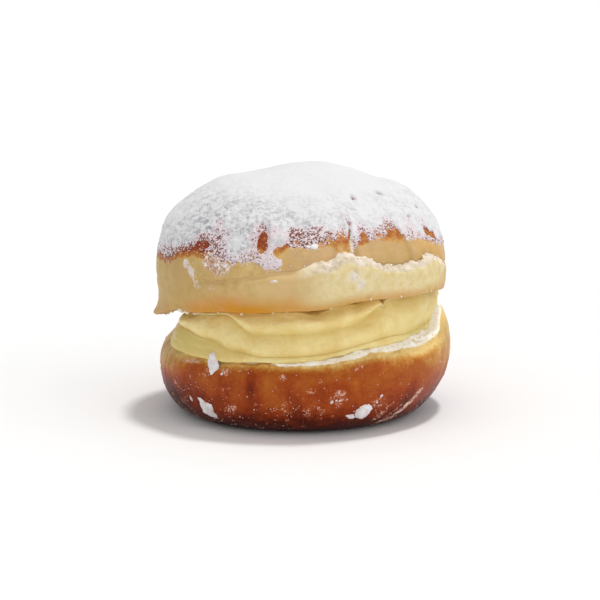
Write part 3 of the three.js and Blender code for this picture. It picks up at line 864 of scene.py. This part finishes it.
# The height above which the lid is browned, how far below that it is amber, and how brown it gets at most.
BROWN_LIMIT = [
    [-180, 54], [-150, 57], [-125, 53.4], [-100, 55], [-88, 54.6], [-72, 54.9], [-64.6, 55.7],
    [-57.6, 58.5], [-48, 59.8], [-42, 60], [-36, 61.4], [-30, 62.4], [-22, 62.6], [-18, 62.8], [-14, 62.6],
    [-11, 64.4], [-5, 65.6], [2, 65.2], [8, 65.4], [14, 66.6], [20, 67.2], [22, 65.4], [28, 65.4],
    [34, 66.4], [40, 66.8], [47, 66.8], [50, 65.4], [58, 64.4], [66, 62.8], [74, 62], [80, 60], [96, 57.6],
    [120, 59], [138, 54.6], [160, 57],
]
AMBER_BELOW = [
    [-180, 1.5], [-60, 1], [-30, 1.4], [-18, 0.6], [-13, 2], [-9, 3], [-4, 1], [6, 0.6], [12, 2.5], [15, 5],
    [19.6, 6], [21, 0.6], [26, 0.8], [34, 0.8], [39, 2.6], [44, 4], [47.5, 4], [49, 0.6], [60, 1], [72, 2],
    [90, 1.5],
]
BROWNEST = [[-180, 1], [-30, 1], [-5, 0.9], [16, 0.7], [84, 0.7], [115, 1]]

# Where the skin by the sugar's edge is scurfy, reddish spots by the lid's lower edge, and rough torn spots on
# its side: degrees of turn, height, half width in degrees, half height and strength.
SCURFY = [[-38.6, 58, 4.4, 2.4, 0.9], [-33.4, 56, 4, 2, 0.8], [-30.6, 58, 3, 2, 0.6], [133, 53, 4, 2, 0.7]]
BLUSHES = [[-42.6, 43, 3.2, 2.2, 1], [-33.9, 44, 3, 2.6, 1], [-25.5, 47, 2.6, 2.2, 1], [160, 41, 4, 2, 0.8]]
TORN_SPOTS = [[20, 55.2, 2.3, 2, 1], [22.8, 52.2, 2, 1.9, 0.9], [70, 52, 3, 1.4, 0.5]]

# Smears of sugar on the lid's side, and one painted highlight: two ends as degrees of turn and height, the
# half width and the strength.
LID_SMEARS = [
    [-53, 55.8, -48.4, 53.4, 1.7, 0.8], [-48.4, 53.4, -45.5, 50.6, 1.4, 0.55],
    [-46, 49.6, -44, 49.4, 1.6, 0.4], [-38, 49.8, -37, 49.4, 1.4, 0.35],
    # The short stroke from -11.8 to -9.8 degrees at about 53.7 mm is a painted highlight, drawn like a smear
    # of sugar.
    [-11.8, 53.6, -9.8, 53.8, 0.45, 0.8], [-35.5, 57.5, -34.5, 57.2, 1.2, 0.6],
    [-31, 57.6, -30.4, 57.3, 1.2, 0.6], [21.6, 65, 21.2, 62.4, 0.8, 0.7], [49.4, 66.5, 49.6, 64, 0.8, 0.7],
    [-129, 51, -124, 47.5, 1.4, 0.75], [-124, 47.5, -122, 45, 1, 0.5], [-172, 50.6, -176, 48.4, 1.2, 0.6],
    [118, 48, 121, 47.4, 1.5, 0.5], [147, 54.5, 148.5, 50.5, 0.7, 0.75],
]


def lid_leans(turn, ledge):
    """How far each row of the crust leans, from the middle of the top down to just over the ledge."""
    sugar_lean = dome_lean(around(SUGAR_EDGE, turn))
    crown = lerp(math.pi / 2, sugar_lean, np.linspace(0, 1, CROWN_ROWS)[:, None] ** 0.6)
    band = lerp(sugar_lean, dome_lean(ledge + LEDGE_STEP), np.linspace(0, 1, BAND_ROWS + 1)[1:, None])
    return np.concatenate([crown, band])


def slab_outline(turn, ledge, torn):
    """Radii and heights of rows from the seam over the ledge, down the slab's side and in to its middle."""
    edge = around(LID_EDGE, turn)
    over_ledge = ledge + LEDGE_STEP
    lip = LIP_OUT * torn
    flare = FLAP["out"] * hump(turn, FLAP["at"], FLAP["spread"])

    def wall(height, out):
        radius = wall_radius(height)
        return [radius + out + lid_relief(turn, radius, height), height]

    groove = LEDGE_STEP * around(LEDGE_GROOVE, turn)
    seam = wall(over_ledge - SEAM, band_relief(turn, over_ledge) - groove)
    knots = [seam, wall(ledge, lip - groove), wall(ledge - LIP_HEIGHT, lip)]
    for share in (0.4, 0.75, 0.97):
        out = lip * (1 - share / 2) + flare * share ** FLAP["curl"]
        knots.append(wall(lerp(ledge - LIP_HEIGHT, edge, share), out))
    knots.append(wall(edge, lip / 3 + 0.9 * flare - UNDERCUT))
    knots += flat_rings(turn, upper_face, (*FACE_RINGS, LID_FACE_RADIUS))[::-1]
    return smooth_through(knots, SLAB_STEPS)


def slab_roughness(points, below_ledge, torn, strip):
    """How far the slab's skin stands out: lumpy crumb on the torn strip, and softly uneven under it."""
    lumpy = 0.65 * rough_noise(points, 2.4, 3, 64) + 0.4 * (0.5 - spot_distance(points, 1.5, 65))
    soft = 0.1 * rough_noise(points, 3, 3, 66) + 0.4 * (1 - torn) * soft_noise(points, 10, 78)
    return lumpy * strip + soft * smoothstep(below_ledge, -0.5, 4) * (0.6 + torn)


def lid_brown(turn, height, points):
    """How brown the lid is by the sugar's edge, and the amber below that."""
    limit = around(BROWN_LIMIT, turn) + 0.5 * soft_noise(points, 2.4, 69)
    browned = around(BROWNEST, turn) * smoothstep(height, limit - 0.9, limit + 1.2)
    amber = smoothstep(height, limit - around(AMBER_BELOW, turn) - 1, limit - 0.5)
    return np.maximum(browned, 0.58 * amber)


def slab_gold(turn, over_edge, points):
    tall = 5.2 + 1.2 * soft_noise(points, 6, 68)
    return around(GOLDEN, turn) * (1 - smoothstep(over_edge, 0.2 * tall, 1.4 * tall))


def upper_bun():
    """Makes the upper half. Returns its surface's points and normals, and where loose things lie on it."""
    turn = turns(LID_COLUMNS)
    torn = smoothstep(np.sin(turn), -0.1, 0.2) * smoothstep(np.cos(turn), 0.05, 0.5)
    ring = on_meridian(turn, LID_RADIUS, 0)
    ledge = around(LEDGE, turn) + LEDGE_RAGGED * (tear(turn) + layers(ring, FINE_TEAR)) * torn
    lean = lid_leans(turn, ledge)
    crust = lid_crust(turn, lean)
    slab = on_meridian(turn, *slab_outline(turn, ledge, torn), LID_SHIFT)
    points = np.concatenate([crust, slab])
    normals = grid_normals(points)
    row = np.arange(len(points))[:, None]
    on_slab = np.where(row < len(crust), 0, 1)
    height = points[..., 2]
    over_edge = height - around(LID_EDGE, turn)
    below_ledge = np.where(on_slab, ledge - height, -1)

    strip_width = 1.6 + 1.3 * hump(turn, 8, 14) + 0.5 * soft_noise(ring, 4, 63)
    strip = torn * (1 - smoothstep(below_ledge, 0.6 * strip_width, 1.3 * strip_width))
    strip = on_slab * np.maximum(strip, patches(turn, height, TORN_SPOTS))
    rough = on_slab * slab_roughness(points, below_ledge, torn, strip) * smoothstep(over_edge, 0, 2.5)
    scurfy = patches(turn, height, SCURFY)
    points = raised(points, normals, 0.5 * scurfy * (0.3 + rough_noise(points, 2.2, 3, 70)))
    points = raised(points, normals, rough)

    cover = np.concatenate([sugar_cover(turn, lean, crust), np.full(slab.shape[:2], -99.0)])
    smears = strokes(turn, height, LID_SMEARS, LID_RADIUS) * (0.8 + 0.4 * soft_noise(points, 1.6, 67))
    side = np.sin(turn)
    shade_over_ledge = 1 - smoothstep(height - ledge, 0.8, 3.5)
    masks = {
        "brown": lid_brown(turn, height, points) * (1 - on_slab),
        "band": smoothstep(side, -0.17, -0.05) * (1 - smoothstep(side, 0.76, 0.9)) * (1 - on_slab),
        "torn": strip,
        "crumb": np.clip(on_slab * torn * 0.85 * smoothstep(over_edge, 0.5, 4) + strip, 0, 1),
        "gold": np.where(on_slab, slab_gold(turn, over_edge, points), 0.25 * hump(turn, 66, 14)),
        "blush": patches(turn, height, BLUSHES),
        "rough": scurfy,
        # olive: olive tan patches, and at the right painted shade in the band just above the ledge, where it
        # juts out.
        "olive": hump(turn, -64, 24) + hump(turn, 54, 20) * (0.35 + 0.9 * shade_over_ledge) * (1 - on_slab),
        # pale: painted light on the front of the slab.
        "pale": hump(turn, -8, 15) * on_slab,
        # dust: smears and loose sugar below the coat, with one smear a painted highlight.
        "dust": np.maximum(smears, 0.32 * smoothstep(cover, -2.2, 0.6)),
    }
    points = raised(points, normals, 0.3 * np.clip(smears, 0, 1))
    piece = body_from_grid("upper_bun", points, masks, upper_crust_finish())
    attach(piece, "root")
    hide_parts("bun_lid")
    return (points, grid_normals(points)), {
        "torn": strip,
        "rough": scurfy,
        "outer": (over_edge > 1) & (row < len(points) - FACE_ROWS),
        "low_edge": on_slab * (1 - smoothstep(over_edge, 0.3, 1.2)) * (over_edge > -0.6),
        "fallen": np.exp(-np.maximum(-cover, 0) / 2.5) * (cover < 0),
    }


# The icing sugar.

# Thickness over the crust, by how far inside its edge the sugar is. It ends below the crust.
SUGAR_DEPTHS = [[-1.6, -0.45], [-0.4, -0.15], [0.2, 0.12], [4, 0.3], [8, 0.8], [15, 1.35], [24, 1.6]]
# Where the sugar is clotted, with painted shade greying it between its lumps, and where it is thin and
# speckled far above its edge: degrees of turn, height, half width in degrees, half height and strength.
CLOTTED = [
    [-46, 67.5, 11, 4.2, 0.9], [-26, 70.5, 9, 3.4, 0.6], [-66, 61, 8, 2.6, 0.3], [-10, 71, 8, 2.4, 0.55],
    [6, 70.2, 8, 2, 0.6], [24, 72.5, 6, 2, 0.3], [60, 70, 8, 2, 0.25], [112, 68, 14, 5, 0.6],
    [150, 66, 12, 4, 0.5], [-172, 63, 14, 5, 0.7], [-140, 67, 12, 5, 0.6], [-108, 64, 14, 4, 0.6],
]
SPECKLED = [
    [-44, 64.6, 6, 2.6, 0.5], [-36, 64.5, 5, 4, 0.75], [-41, 68.6, 3, 2, 0.6], [-20, 67, 4.6, 3.6, 0.75],
    [-12, 67, 3.4, 2.4, 0.7], [-3, 67.6, 5, 1.9, 0.95], [7, 68, 6, 1.8, 0.9], [22, 71, 2, 1.6, 0.6],
    [29, 68.6, 4, 2.2, 0.5], [38, 69, 3, 1.6, 0.5], [45, 70, 3, 1.4, 0.5], [56, 67, 5, 2.4, 0.6],
    [68, 66, 5, 2, 0.6], [-70, 59, 8, 1.6, 0.5], [108, 64, 8, 3, 0.6], [150, 62, 9, 3, 0.7],
    [-150, 60, 9, 3, 0.7], [-118, 60, 8, 3, 0.6],
]
# How lumpy the sugar is round the bun, and how strongly painted shade greys it there.
MOTTLED = [
    [-180, 0.7], [-100, 0.8], [-78, 0.6], [-60, 1], [-25, 1], [5, 0.6], [25, 0.5], [80, 0.45], [120, 0.6],
]
# Small holes where the crust shows: degrees of turn, height, and half width.
PINHOLES = [
    [34.5, 75.5, 0.9], [58, 75.3, 1.1], [75, 69.8, 0.7], [61, 69, 0.7], [23.2, 70, 0.6], [142, 71, 0.9],
    [-150, 73, 0.8],
]
PINHOLE_DEPTH = 0.5
PINHOLE_RADIUS = 30  # of the lid, about where they are
PINHOLE_SLOPE = 2  # how far along the sugar they reach for each mm of height
HOLE_DEPTH = 0.25
SUGAR_HIDDEN = 0.7  # how deep in the crust the coat's inner side lies
SUGAR_REACH = 7  # how far below the solid's edge the coat can come
TOP_ROWS = 49  # rows over the crown, where the sugar is smooth
SIDE_ROWS = 68
TOP_SHARE = 0.55  # of the way down, where those end
HIDDEN_EVERY = 14  # the coat's inner side has only every so many rows
SUGAR_LUMPS = [[0.34, 4.2, 71], [0.3, 1.9, 72], [0.14, 0.9, 73]]
SUGAR_GAPS = [[1, 1.9, 76], [0.7, 1.1, 77]]


def sugar_thickness(turn, lean, cover, clotted, crust):
    """How thick the sugar is over the crust: lumpy and grainy, and gone in gaps near its edge."""
    lumpy = around(MOTTLED, turn) * smoothstep(cover, 1, 8) * (1 - 0.7 * smoothstep(lean, 0.7, 1.3))
    lumps = layers(crust, SUGAR_LUMPS) + 0.3 * clotted * soft_noise(crust, 2.3, 79)
    grains = 0.1 * soft_noise(crust, 0.8, 74) + 0.06 * (0.5 - spot_distance(crust, 0.9, 75))
    grains = grains * (1 - smoothstep(lean, 0.8, 1.1)) * smoothstep(cover, -0.5, 1)
    swells = waves(turn, lean * LID_RADIUS, SUGAR_WAVES) * smoothstep(np.cos(lean), 0, 0.5)
    thick = np.interp(cover, *np.array(SUGAR_DEPTHS).T)
    thick = thick + lumps * lumpy + grains * (0.4 + around(MOTTLED, turn))
    thick = thick + 0.6 * swells * smoothstep(cover, 4, 14)
    gaps = layers(crust, SUGAR_GAPS) + 0.2 - 1.5 * np.clip(cover / around(THIN_BAND, turn), 0, 1)
    return thick - (thick + HOLE_DEPTH) * smoothstep(gaps, 0, 0.25) * around(PATCHY, turn)


def pinholes(turn, height):
    """1 in the middle of each pinhole, and 0 outside it."""
    deepest = np.zeros_like(height)
    for at, level, half_width in PINHOLES:
        across = turn_apart(turn, at) * PINHOLE_RADIUS
        away = (across**2 + ((height - level) * PINHOLE_SLOPE) ** 2) / half_width**2
        deepest = np.maximum(deepest, np.exp(-(away**2)))
    return deepest


def icing_sugar():
    """Makes the coat. Returns its outer points and normals, and how far inside its edge each point is."""
    turn = turns(LID_COLUMNS)
    over_ledge = around(LEDGE, turn) + LEDGE_STEP + 1
    lowest = dome_lean(np.maximum(around(SUGAR_EDGE, turn) - SUGAR_REACH, over_ledge))
    top = np.linspace(0, TOP_SHARE, TOP_ROWS + 1)[:-1]
    share = np.concatenate([top, np.linspace(TOP_SHARE, 1, SIDE_ROWS)])[:, None]
    lean = lerp(math.pi / 2, lowest, share)
    height = dome_height(lean)
    crust = lid_crust(turn, lean)
    normals = grid_normals(crust)
    cover = sugar_cover(turn, lean, crust)
    # Clotted lumps of sugar, which also carry painted shade between them.
    clotted = np.clip(patches(turn, height, CLOTTED), 0, 1) * smoothstep(cover, 1, 3)
    thick = sugar_thickness(turn, lean, cover, clotted, crust)
    holes = pinholes(turn, height)
    outer = raised(crust, normals, thick - (thick + PINHOLE_DEPTH) * holes)
    inner = (crust - normals * SUGAR_HIDDEN)[::-1][::HIDDEN_EVERY]
    inner = np.concatenate([inner, crust[:1] - [0, 0, SUGAR_HIDDEN]])
    thin = 1 - smoothstep(cover / around(THIN_BAND, turn), 0.2, 1.05)
    thin = np.clip(thin + patches(turn, height, SPECKLED) + holes, 0, 1)
    masks = {
        "bare": thin * np.minimum(0.3 + 0.8 * around(PATCHY, turn), 1),
        "thin": thin,
        "clotted": clotted,
        # Painted shade, greyer down the dome's sides than on its top.
        "painted_grey_shade": around(MOTTLED, turn) * (1 - smoothstep(lean, 0.75, 1.2)),
    }
    masks = {key: np.concatenate([mask, np.ones(inner.shape[:2])]) for key, mask in masks.items()}
    piece = body_from_grid("icing_sugar_coat", np.concatenate([outer, inner]), masks, sugar_finish())
    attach(piece, "root")
    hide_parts("icing_sugar")
    return (outer, normals), cover


# Loose things: flakes and grains of sugar, blisters of dried glaze, and crumbs.

FLAKE_RINGS = 13
FLAKE_SEGMENTS = 40
FLAKE_SUNK = 0.45
FLAKE_LAYERS = [[0.3, 1.7, 93], [0.25, 0.8, 94]]
FLAKE_RAGGED = 0.26
PROUD_RAGGED = 0.15
BLISTERS = 46
BLISTER_SEGMENTS = 14
BLISTER_SIDES = 5
# How many there are of the other things in each place, and how wide they are at least and at most.
EDGE_GRAINS = [1500, 0.3, 0.8]
FALLEN_GRAINS = [260, 0.2, 0.5]
SCURF_GRAINS = [60, 0.3, 1]
CRUST_SPECKS = [1100, 0.15, 0.55]  # before most of them are made smaller
SCURF_SPECKS = [150, 0.4, 1.2]
CRUMB_SIZES = [0.35, 1.3]
TORN_CRUMBS = 24
EDGE_CRUMBS = 60
HANGING_CRUMBS = 34
HANGING_LARGER = 1.5
RIM_CRUMBS = 70
SCURF_CRUMBS = 36

# Flakes of sugar: degrees of turn, height, length, width, tilt from upright, outline, thickness and, for one
# that stands off the crust, how far.
BASE_FLAKES = [
    [-37.9, 23.6, 7.8, 5.6, 0, 1.2, 1, 3.2], [-42.5, 7.2, 10, 7.4, -36, 1.2, 1.1],
    [25.6, 8, 7.6, 6.6, 12, 1.6, 1.3], [20.6, 6.8, 2.6, 4, 20, 1.3, 0.7],
    [11.6, 12.8, 1.8, 1.5, 20, 1.5, 0.7], [13.6, 13.4, 1.2, 0.9, 60, 1.5, 0.5],
    [32.7, 13.6, 1.7, 0.9, 40, 1.4, 0.5], [31, 11, 1.5, 1, -20, 1.6, 0.5],
    [-51, 9.4, 3, 1.2, -20, 1.1, 0.6], [-33, 20.6, 1.3, 1, 30, 1.5, 0.5], [97, 9, 4, 2.4, 30, 1.2, 0.8],
    [141, 17, 3.4, 2, -20, 1.3, 0.8], [-121, 12, 4.6, 2.2, 40, 1.2, 0.9], [-165, 7, 3, 3.6, 10, 1.6, 0.8],
]
LID_FLAKES = [
    [5.9, 64.2, 2.2, 3, 8, 2.6, 0.55], [3.3, 64.1, 1.7, 1.8, 20, 2, 0.4],
    [-9.8, 53.7, 1, 2.2, 20, 1.4, 0.4], [-35.6, 57.4, 2.2, 1.9, 10, 1.8, 0.5],
    [-31.2, 57.6, 2, 2.3, -20, 1.8, 0.5], [-27, 60.6, 2.6, 2, 20, 1.6, 0.6],
    [-22.5, 62.6, 2.4, 2, -30, 1.7, 0.6], [125, 55, 2.2, 1.6, 20, 1.5, 0.6],
    [-160, 56, 2.4, 1.8, -30, 1.4, 0.6], [-127, 50, 2.2, 1.4, -30, 1.5, 0.5],
    [172, 44, 1.4, 1, 20, 1.4, 0.4],
]


def areas(points):
    """About how much surface belongs to each point of a grid."""
    across = np.roll(points, -1, axis=1) - points
    return np.linalg.norm(np.cross(np.gradient(points, axis=0), across), axis=-1)


def strewn(skin, weight, count):
    """Random places on a skin, more where the weight is larger, and the directions out of it there."""
    points, normals = skin
    share = np.broadcast_to(weight, points.shape[:2]) * areas(points)
    chosen = draws.choice(share.size, count, p=share.ravel() / share.sum())
    return points.reshape(-1, 3)[chosen], normals.reshape(-1, 3)[chosen]


def together(*groups):
    """The places and the normals of several groups, as one group."""
    return [np.concatenate(parts) for parts in zip(*groups)]


def beside(normals, spin):
    """Two directions along a surface for each direction out of it: one turned by the spin from level, and its
    left."""
    level = np.cross([0, 0, 1.0], normals)
    level = np.where(np.linalg.norm(level, axis=-1, keepdims=True) < 0.01, [1, 0, 0], level)
    level = level / np.linalg.norm(level, axis=-1, keepdims=True)
    rise = np.cross(normals, level)
    spin = np.reshape(spin, (*np.shape(spin), 1))
    return level * np.cos(spin) + rise * np.sin(spin), rise * np.cos(spin) - level * np.sin(spin)


def joined_forms(name, forms, faces, material):
    """One mesh of many like forms: their points, and the faces of the first."""
    step = len(forms[0])
    every = [[step * at + corner for corner in face] for at in range(len(forms)) for face in faces]
    piece = made_piece(name, np.reshape(forms, (-1, 3)), every, {}, material)
    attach(piece, "root")


def uneven_balls(places, normals, sizes, flatness, rings=3, segments=6):
    """Small uneven balls, each about as wide as its size and pressed into the surface, and one's faces."""
    lean = (np.arange(1, rings + 1) * (math.pi / (rings + 1)))[:, None]
    turn = turns(segments)
    ball = [np.sin(lean) * np.cos(turn), np.sin(lean) * np.sin(turn), np.cos(lean)]
    ball = np.stack(np.broadcast_arrays(*ball), axis=-1).reshape(-1, 3)
    ball = np.concatenate([[[0, 0, 1]], ball, [[0, 0, -1]]])
    count = len(places)
    uneven = draws.uniform(0.7, 1.2, (count, len(ball), 1))
    stretch = np.stack([np.ones(count), draws.uniform(0.55, 1, count), np.full(count, flatness)], axis=-1)
    local = ball * uneven * stretch[:, None] * (np.reshape(sizes, (-1, 1, 1)) / 2)
    along, aside = beside(normals, draws.uniform(0, 2 * math.pi, count))
    axes = np.stack([along, aside, normals], axis=1)
    middles = raised(places, normals, np.asarray(sizes) * flatness / 4)
    return np.einsum("nvk,nkx->nvx", local, axes) + middles[:, None], closed_faces(rings, segments)


def nearest(skin, places):
    """The nearest point of a skin for each place, and the direction out of the skin there."""
    points, normals = skin
    middle = places.mean(axis=0)
    reach = np.linalg.norm(places - middle, axis=1).max() + 3
    close = np.linalg.norm(points - middle, axis=1) < reach
    points, normals = points[close], normals[close]
    found = [np.argmin(np.linalg.norm(points - place, axis=1)) for place in places]
    return points[found], normals[found]


def foot_of(skin, turn, height):
    """The point of a skin at a degree of turn and a height, and the direction out of the skin there."""
    points, normals = skin
    radius = np.hypot(points[:, 0], points[:, 1])
    turned = np.abs(turn_apart(np.arctan2(points[:, 0], -points[:, 1]), turn)) * radius
    found = np.argmin(turned + np.abs(points[:, 2] - height))
    return points[found], normals[found]


def flake(skin, turn, height, long, wide, tilt, point, thick, proud=0):
    """A crusted flake of sugar lying on a skin. A point of 1 makes its outline a diamond, and of 2 an oval.
    Proud is how far its upper end stands off."""
    centre, normal = foot_of(skin, turn, height)
    level, rise = beside(normal, 0.0)
    angle = turns(FLAKE_SEGMENTS)
    reach = (np.abs(np.cos(angle)) ** point + np.abs(np.sin(angle)) ** point) ** (-1 / point)
    share = np.concatenate([np.linspace(0, 1, FLAKE_RINGS), [0.9]])[:, None]
    up = share * reach * np.cos(angle) * long / 2
    side = share * reach * np.sin(angle) * wide / 2
    lean = math.radians(tilt)
    upward = up * math.cos(lean) - side * math.sin(lean)
    sideways = up * math.sin(lean) + side * math.cos(lean)
    flat = upward[..., None] * rise + sideways[..., None] * level
    ragged = 1 + (PROUD_RAGGED if proud else FLAKE_RAGGED) * soft_noise(centre + flat, 1.5, 91)
    ragged = ragged + 0.14 * soft_noise(centre + flat, 0.7, 92)
    places = centre + flat * ragged[..., None]
    under, out = [part.reshape(places.shape) for part in nearest(skin, places.reshape(-1, 3))]
    places = places - out * ((places - under) * out).sum(-1, keepdims=True)
    top = thick * (1 - share**3) * (0.75 + layers(places, FLAKE_LAYERS)) - FLAKE_SUNK * share**6
    top[-1] = -FLAKE_SUNK
    top = top + proud * smoothstep(up * math.cos(lean), -0.2 * long, 0.3 * long)
    places = raised(places, out, top)
    base = centre - normal * (FLAKE_SUNK + 0.2)
    return np.concatenate([places[0, :1], places[1:].reshape(-1, 3), [base]])


def clumps(base, lid):
    """The flakes, on the outer sides of the two halves, which are given as points and normals."""
    forms = [flake(base, *shape) for shape in BASE_FLAKES] + [flake(lid, *shape) for shape in LID_FLAKES]
    faces = closed_faces(FLAKE_RINGS, FLAKE_SEGMENTS)
    joined_forms("sugar_clumps", forms, faces, grain_finish())


def grains(lid, lid_masks, coat, cover):
    """Grains of sugar: many at the edge of the coat, some fallen below it, and a few on the lid's scurf."""
    turn = turns(lid[0].shape[1])
    fallen = lid_masks["fallen"] * (0.25 + hump(turn, -40, 30))
    places, normals = together(
        strewn(coat, np.exp(-(((cover - 1.5) / 2.5) ** 2)), EDGE_GRAINS[0]),
        strewn(lid, fallen, FALLEN_GRAINS[0]),
        strewn(lid, lid_masks["rough"], SCURF_GRAINS[0]),
    )
    kinds = (EDGE_GRAINS, FALLEN_GRAINS, SCURF_GRAINS)
    sizes = np.concatenate([draws.uniform(least, most, count) for count, least, most in kinds])
    forms, faces = uneven_balls(places, normals, sizes, 0.6)
    joined_forms("sugar_grains", forms, faces, grain_finish())


def specks(base, base_masks, lid, lid_masks):
    """Damp, dull specks of sugar: on the lower crust, more of them in its films, low down and at the left,
    and in the lid's scurfy patches."""
    height = base[0][..., 2]
    spread = smoothstep(soft_noise(base[0], 8, 33), -0.5, 0.9) + 0.15
    low = smoothstep(-height, -21, -8) * smoothstep(height, 0.5, 3) + 0.3
    around_bun = 0.5 + hump(turns(height.shape[1]), -52, 26)
    weight = base_masks["crust"] * (spread * low * around_bun + 3.5 * base_masks["stuck"])
    (count, least, most), (scurf_count, *scurf_sizes) = CRUST_SPECKS, SCURF_SPECKS
    places, normals = together(strewn(base, weight, count), strewn(lid, lid_masks["rough"], scurf_count))
    sizes = 1.2 * draws.uniform(least, most, count) ** 1.3
    sizes = np.concatenate([sizes, draws.uniform(*scurf_sizes, scurf_count)])
    forms, faces = uneven_balls(places, normals, sizes, 0.5)
    joined_forms("sugar_specks", forms, faces, speck_finish())


def blisters(base, on_crust):
    """Little blisters where a drop of glaze dried on the lower crust: low uneven rings."""
    height = base[0][..., 2]
    weight = on_crust * smoothstep(height, 3, 8) * (1 - smoothstep(height, 20, 24))
    places, normals = strewn(base, weight, BLISTERS)
    along, aside = beside(normals, draws.uniform(0, 2 * math.pi, BLISTERS))
    size = draws.uniform(0.35, 0.75, (BLISTERS, 1, 1))
    turn, lean = turns(BLISTER_SEGMENTS)[:, None], turns(BLISTER_SIDES)
    section = 0.1 + 0.05 * np.sin(3 * turn)
    wide = size + section * np.cos(lean)
    local = [wide * np.cos(turn), 0.75 * wide * np.sin(turn), section * np.sin(lean) + 0 * size]
    axes = (along, aside, normals)
    rings = sum(part[..., None] * way[:, None, None] for part, way in zip(local, axes))
    forms = (places[:, None, None] + rings).reshape(BLISTERS, -1, 3)
    grid = np.arange(BLISTER_SEGMENTS * BLISTER_SIDES).reshape(BLISTER_SEGMENTS, -1)
    onward = np.roll(grid, -1, axis=0)
    corners = [grid, onward, np.roll(onward, -1, axis=1), np.roll(grid, -1, axis=1)]
    faces = np.stack(corners, axis=-1).reshape(-1, 4).tolist()
    joined_forms("glaze_blisters", forms, faces, blister_finish())


def crumbs(base, base_masks, lid, lid_masks):
    """Crumbs of dough: on the torn strip, along the lid's lower edge, and on the rim of the lower half."""
    turn = turns(lid[0].shape[1])
    low_edge = lid_masks["low_edge"]
    torn = strewn(lid, lid_masks["torn"], TORN_CRUMBS)
    edge = strewn(lid, low_edge * (0.02 + 0.1 * hump(turn, -78, 12) + 0.1 * hump(turn, 70, 20)), EDGE_CRUMBS)
    hanging = strewn(lid, low_edge * hump(turn, -57, 4.5), HANGING_CRUMBS)
    rim = strewn(base, base_masks["rim"], RIM_CRUMBS)
    scurf = strewn(lid, lid_masks["rough"], SCURF_CRUMBS)
    places, normals = together(torn, edge, rim, scurf, hanging)
    sizes = draws.uniform(*CRUMB_SIZES, len(places))
    sizes[-HANGING_CRUMBS:] *= HANGING_LARGER
    forms, faces = uneven_balls(places, normals, sizes, 0.7, rings=4, segments=7)
    joined_forms("dough_crumbs", forms, faces, crumb_finish())


# The camera, as the photo was taken: a little above the doughnut, and straight at its open front.

PHOTO_SIZE = 600
PIXELS_PER_MM = 2.92
FOOT_AT = (301, 406)
ELEVATION = math.radians(12)
DISTANCE = 1.5


def camera():
    lens = bpy.data.cameras.new("camera")
    seen = placed("camera", lens)
    back = Vector((0, -math.cos(ELEVATION), math.sin(ELEVATION)))
    up = Vector((0, math.sin(ELEVATION), math.cos(ELEVATION)))
    across, below = [(at - PHOTO_SIZE / 2) / PIXELS_PER_MM * MM for at in FOOT_AT]
    seen.location = up * below - Vector((across, 0, 0)) + back * DISTANCE
    seen.rotation_mode = "QUATERNION"
    seen.rotation_quaternion = (-back).to_track_quat("-Z", "Y")
    lens.sensor_width = 36
    lens.lens = lens.sensor_width * DISTANCE / (PHOTO_SIZE / PIXELS_PER_MM * MM)
    lens.clip_start = 0.01
    bpy.context.scene.camera = seen


# The floor reaches this far each way. The lights are soft and distant: name, where each comes from, strength,
# and how wide it looks, in degrees.
FLOOR_HALF = 4
LIGHTS = [["from_above", (0.19, 0.12, 1), 1.45, 7], ["from_the_right", (0.9, -0.5, 0.45), 0.5, 60]]
SKY_STRENGTH = 0.68


def floor():
    mesh = bpy.data.meshes.new("floor")
    corners = [(-1, -1), (1, -1), (1, 1), (-1, 1)]
    mesh.from_pydata([(FLOOR_HALF * x, FLOOR_HALF * y, 0) for x, y in corners], [], [range(4)])
    made = Finish("floor")
    pale = made.mix(made.noise(30), (238, 238, 238), (240, 240, 240))
    mesh.materials.append(made.finish(Base_Color=pale, Roughness=0.9, Specular_IOR_Level=0.1))
    piece = placed("floor", mesh)


def lights():
    for name, place, strength, width in LIGHTS:
        light = bpy.data.lights.new(name, "SUN")
        light.energy = strength
        light.angle = math.radians(width)
        lamp = placed(name, light)
        lamp.location = place
        lamp.rotation_mode = "QUATERNION"
        lamp.rotation_quaternion = (-lamp.location).to_track_quat("-Z", "Y")
    world = bpy.data.worlds.new("studio")
    world.use_nodes = True
    bpy.context.scene.world = world
    sky = world.node_tree.nodes["Background"]
    sky.inputs["Color"].default_value = (1, 1, 1, 1)
    sky.inputs["Strength"].default_value = SKY_STRENGTH
    bpy.context.scene.view_settings.view_transform = "Standard"


camera()
floor()
lights()
base, base_masks = lower_bun()
custard()
lid, lid_masks = upper_bun()
coat, cover = icing_sugar()
clumps([part[base_masks["crust"]] for part in base], [part[lid_masks["outer"]] for part in lid])
grains(lid, lid_masks, coat, cover)
specks(base, base_masks, lid, lid_masks)
blisters(base, base_masks["crust"])
crumbs(base, base_masks, lid, lid_masks)
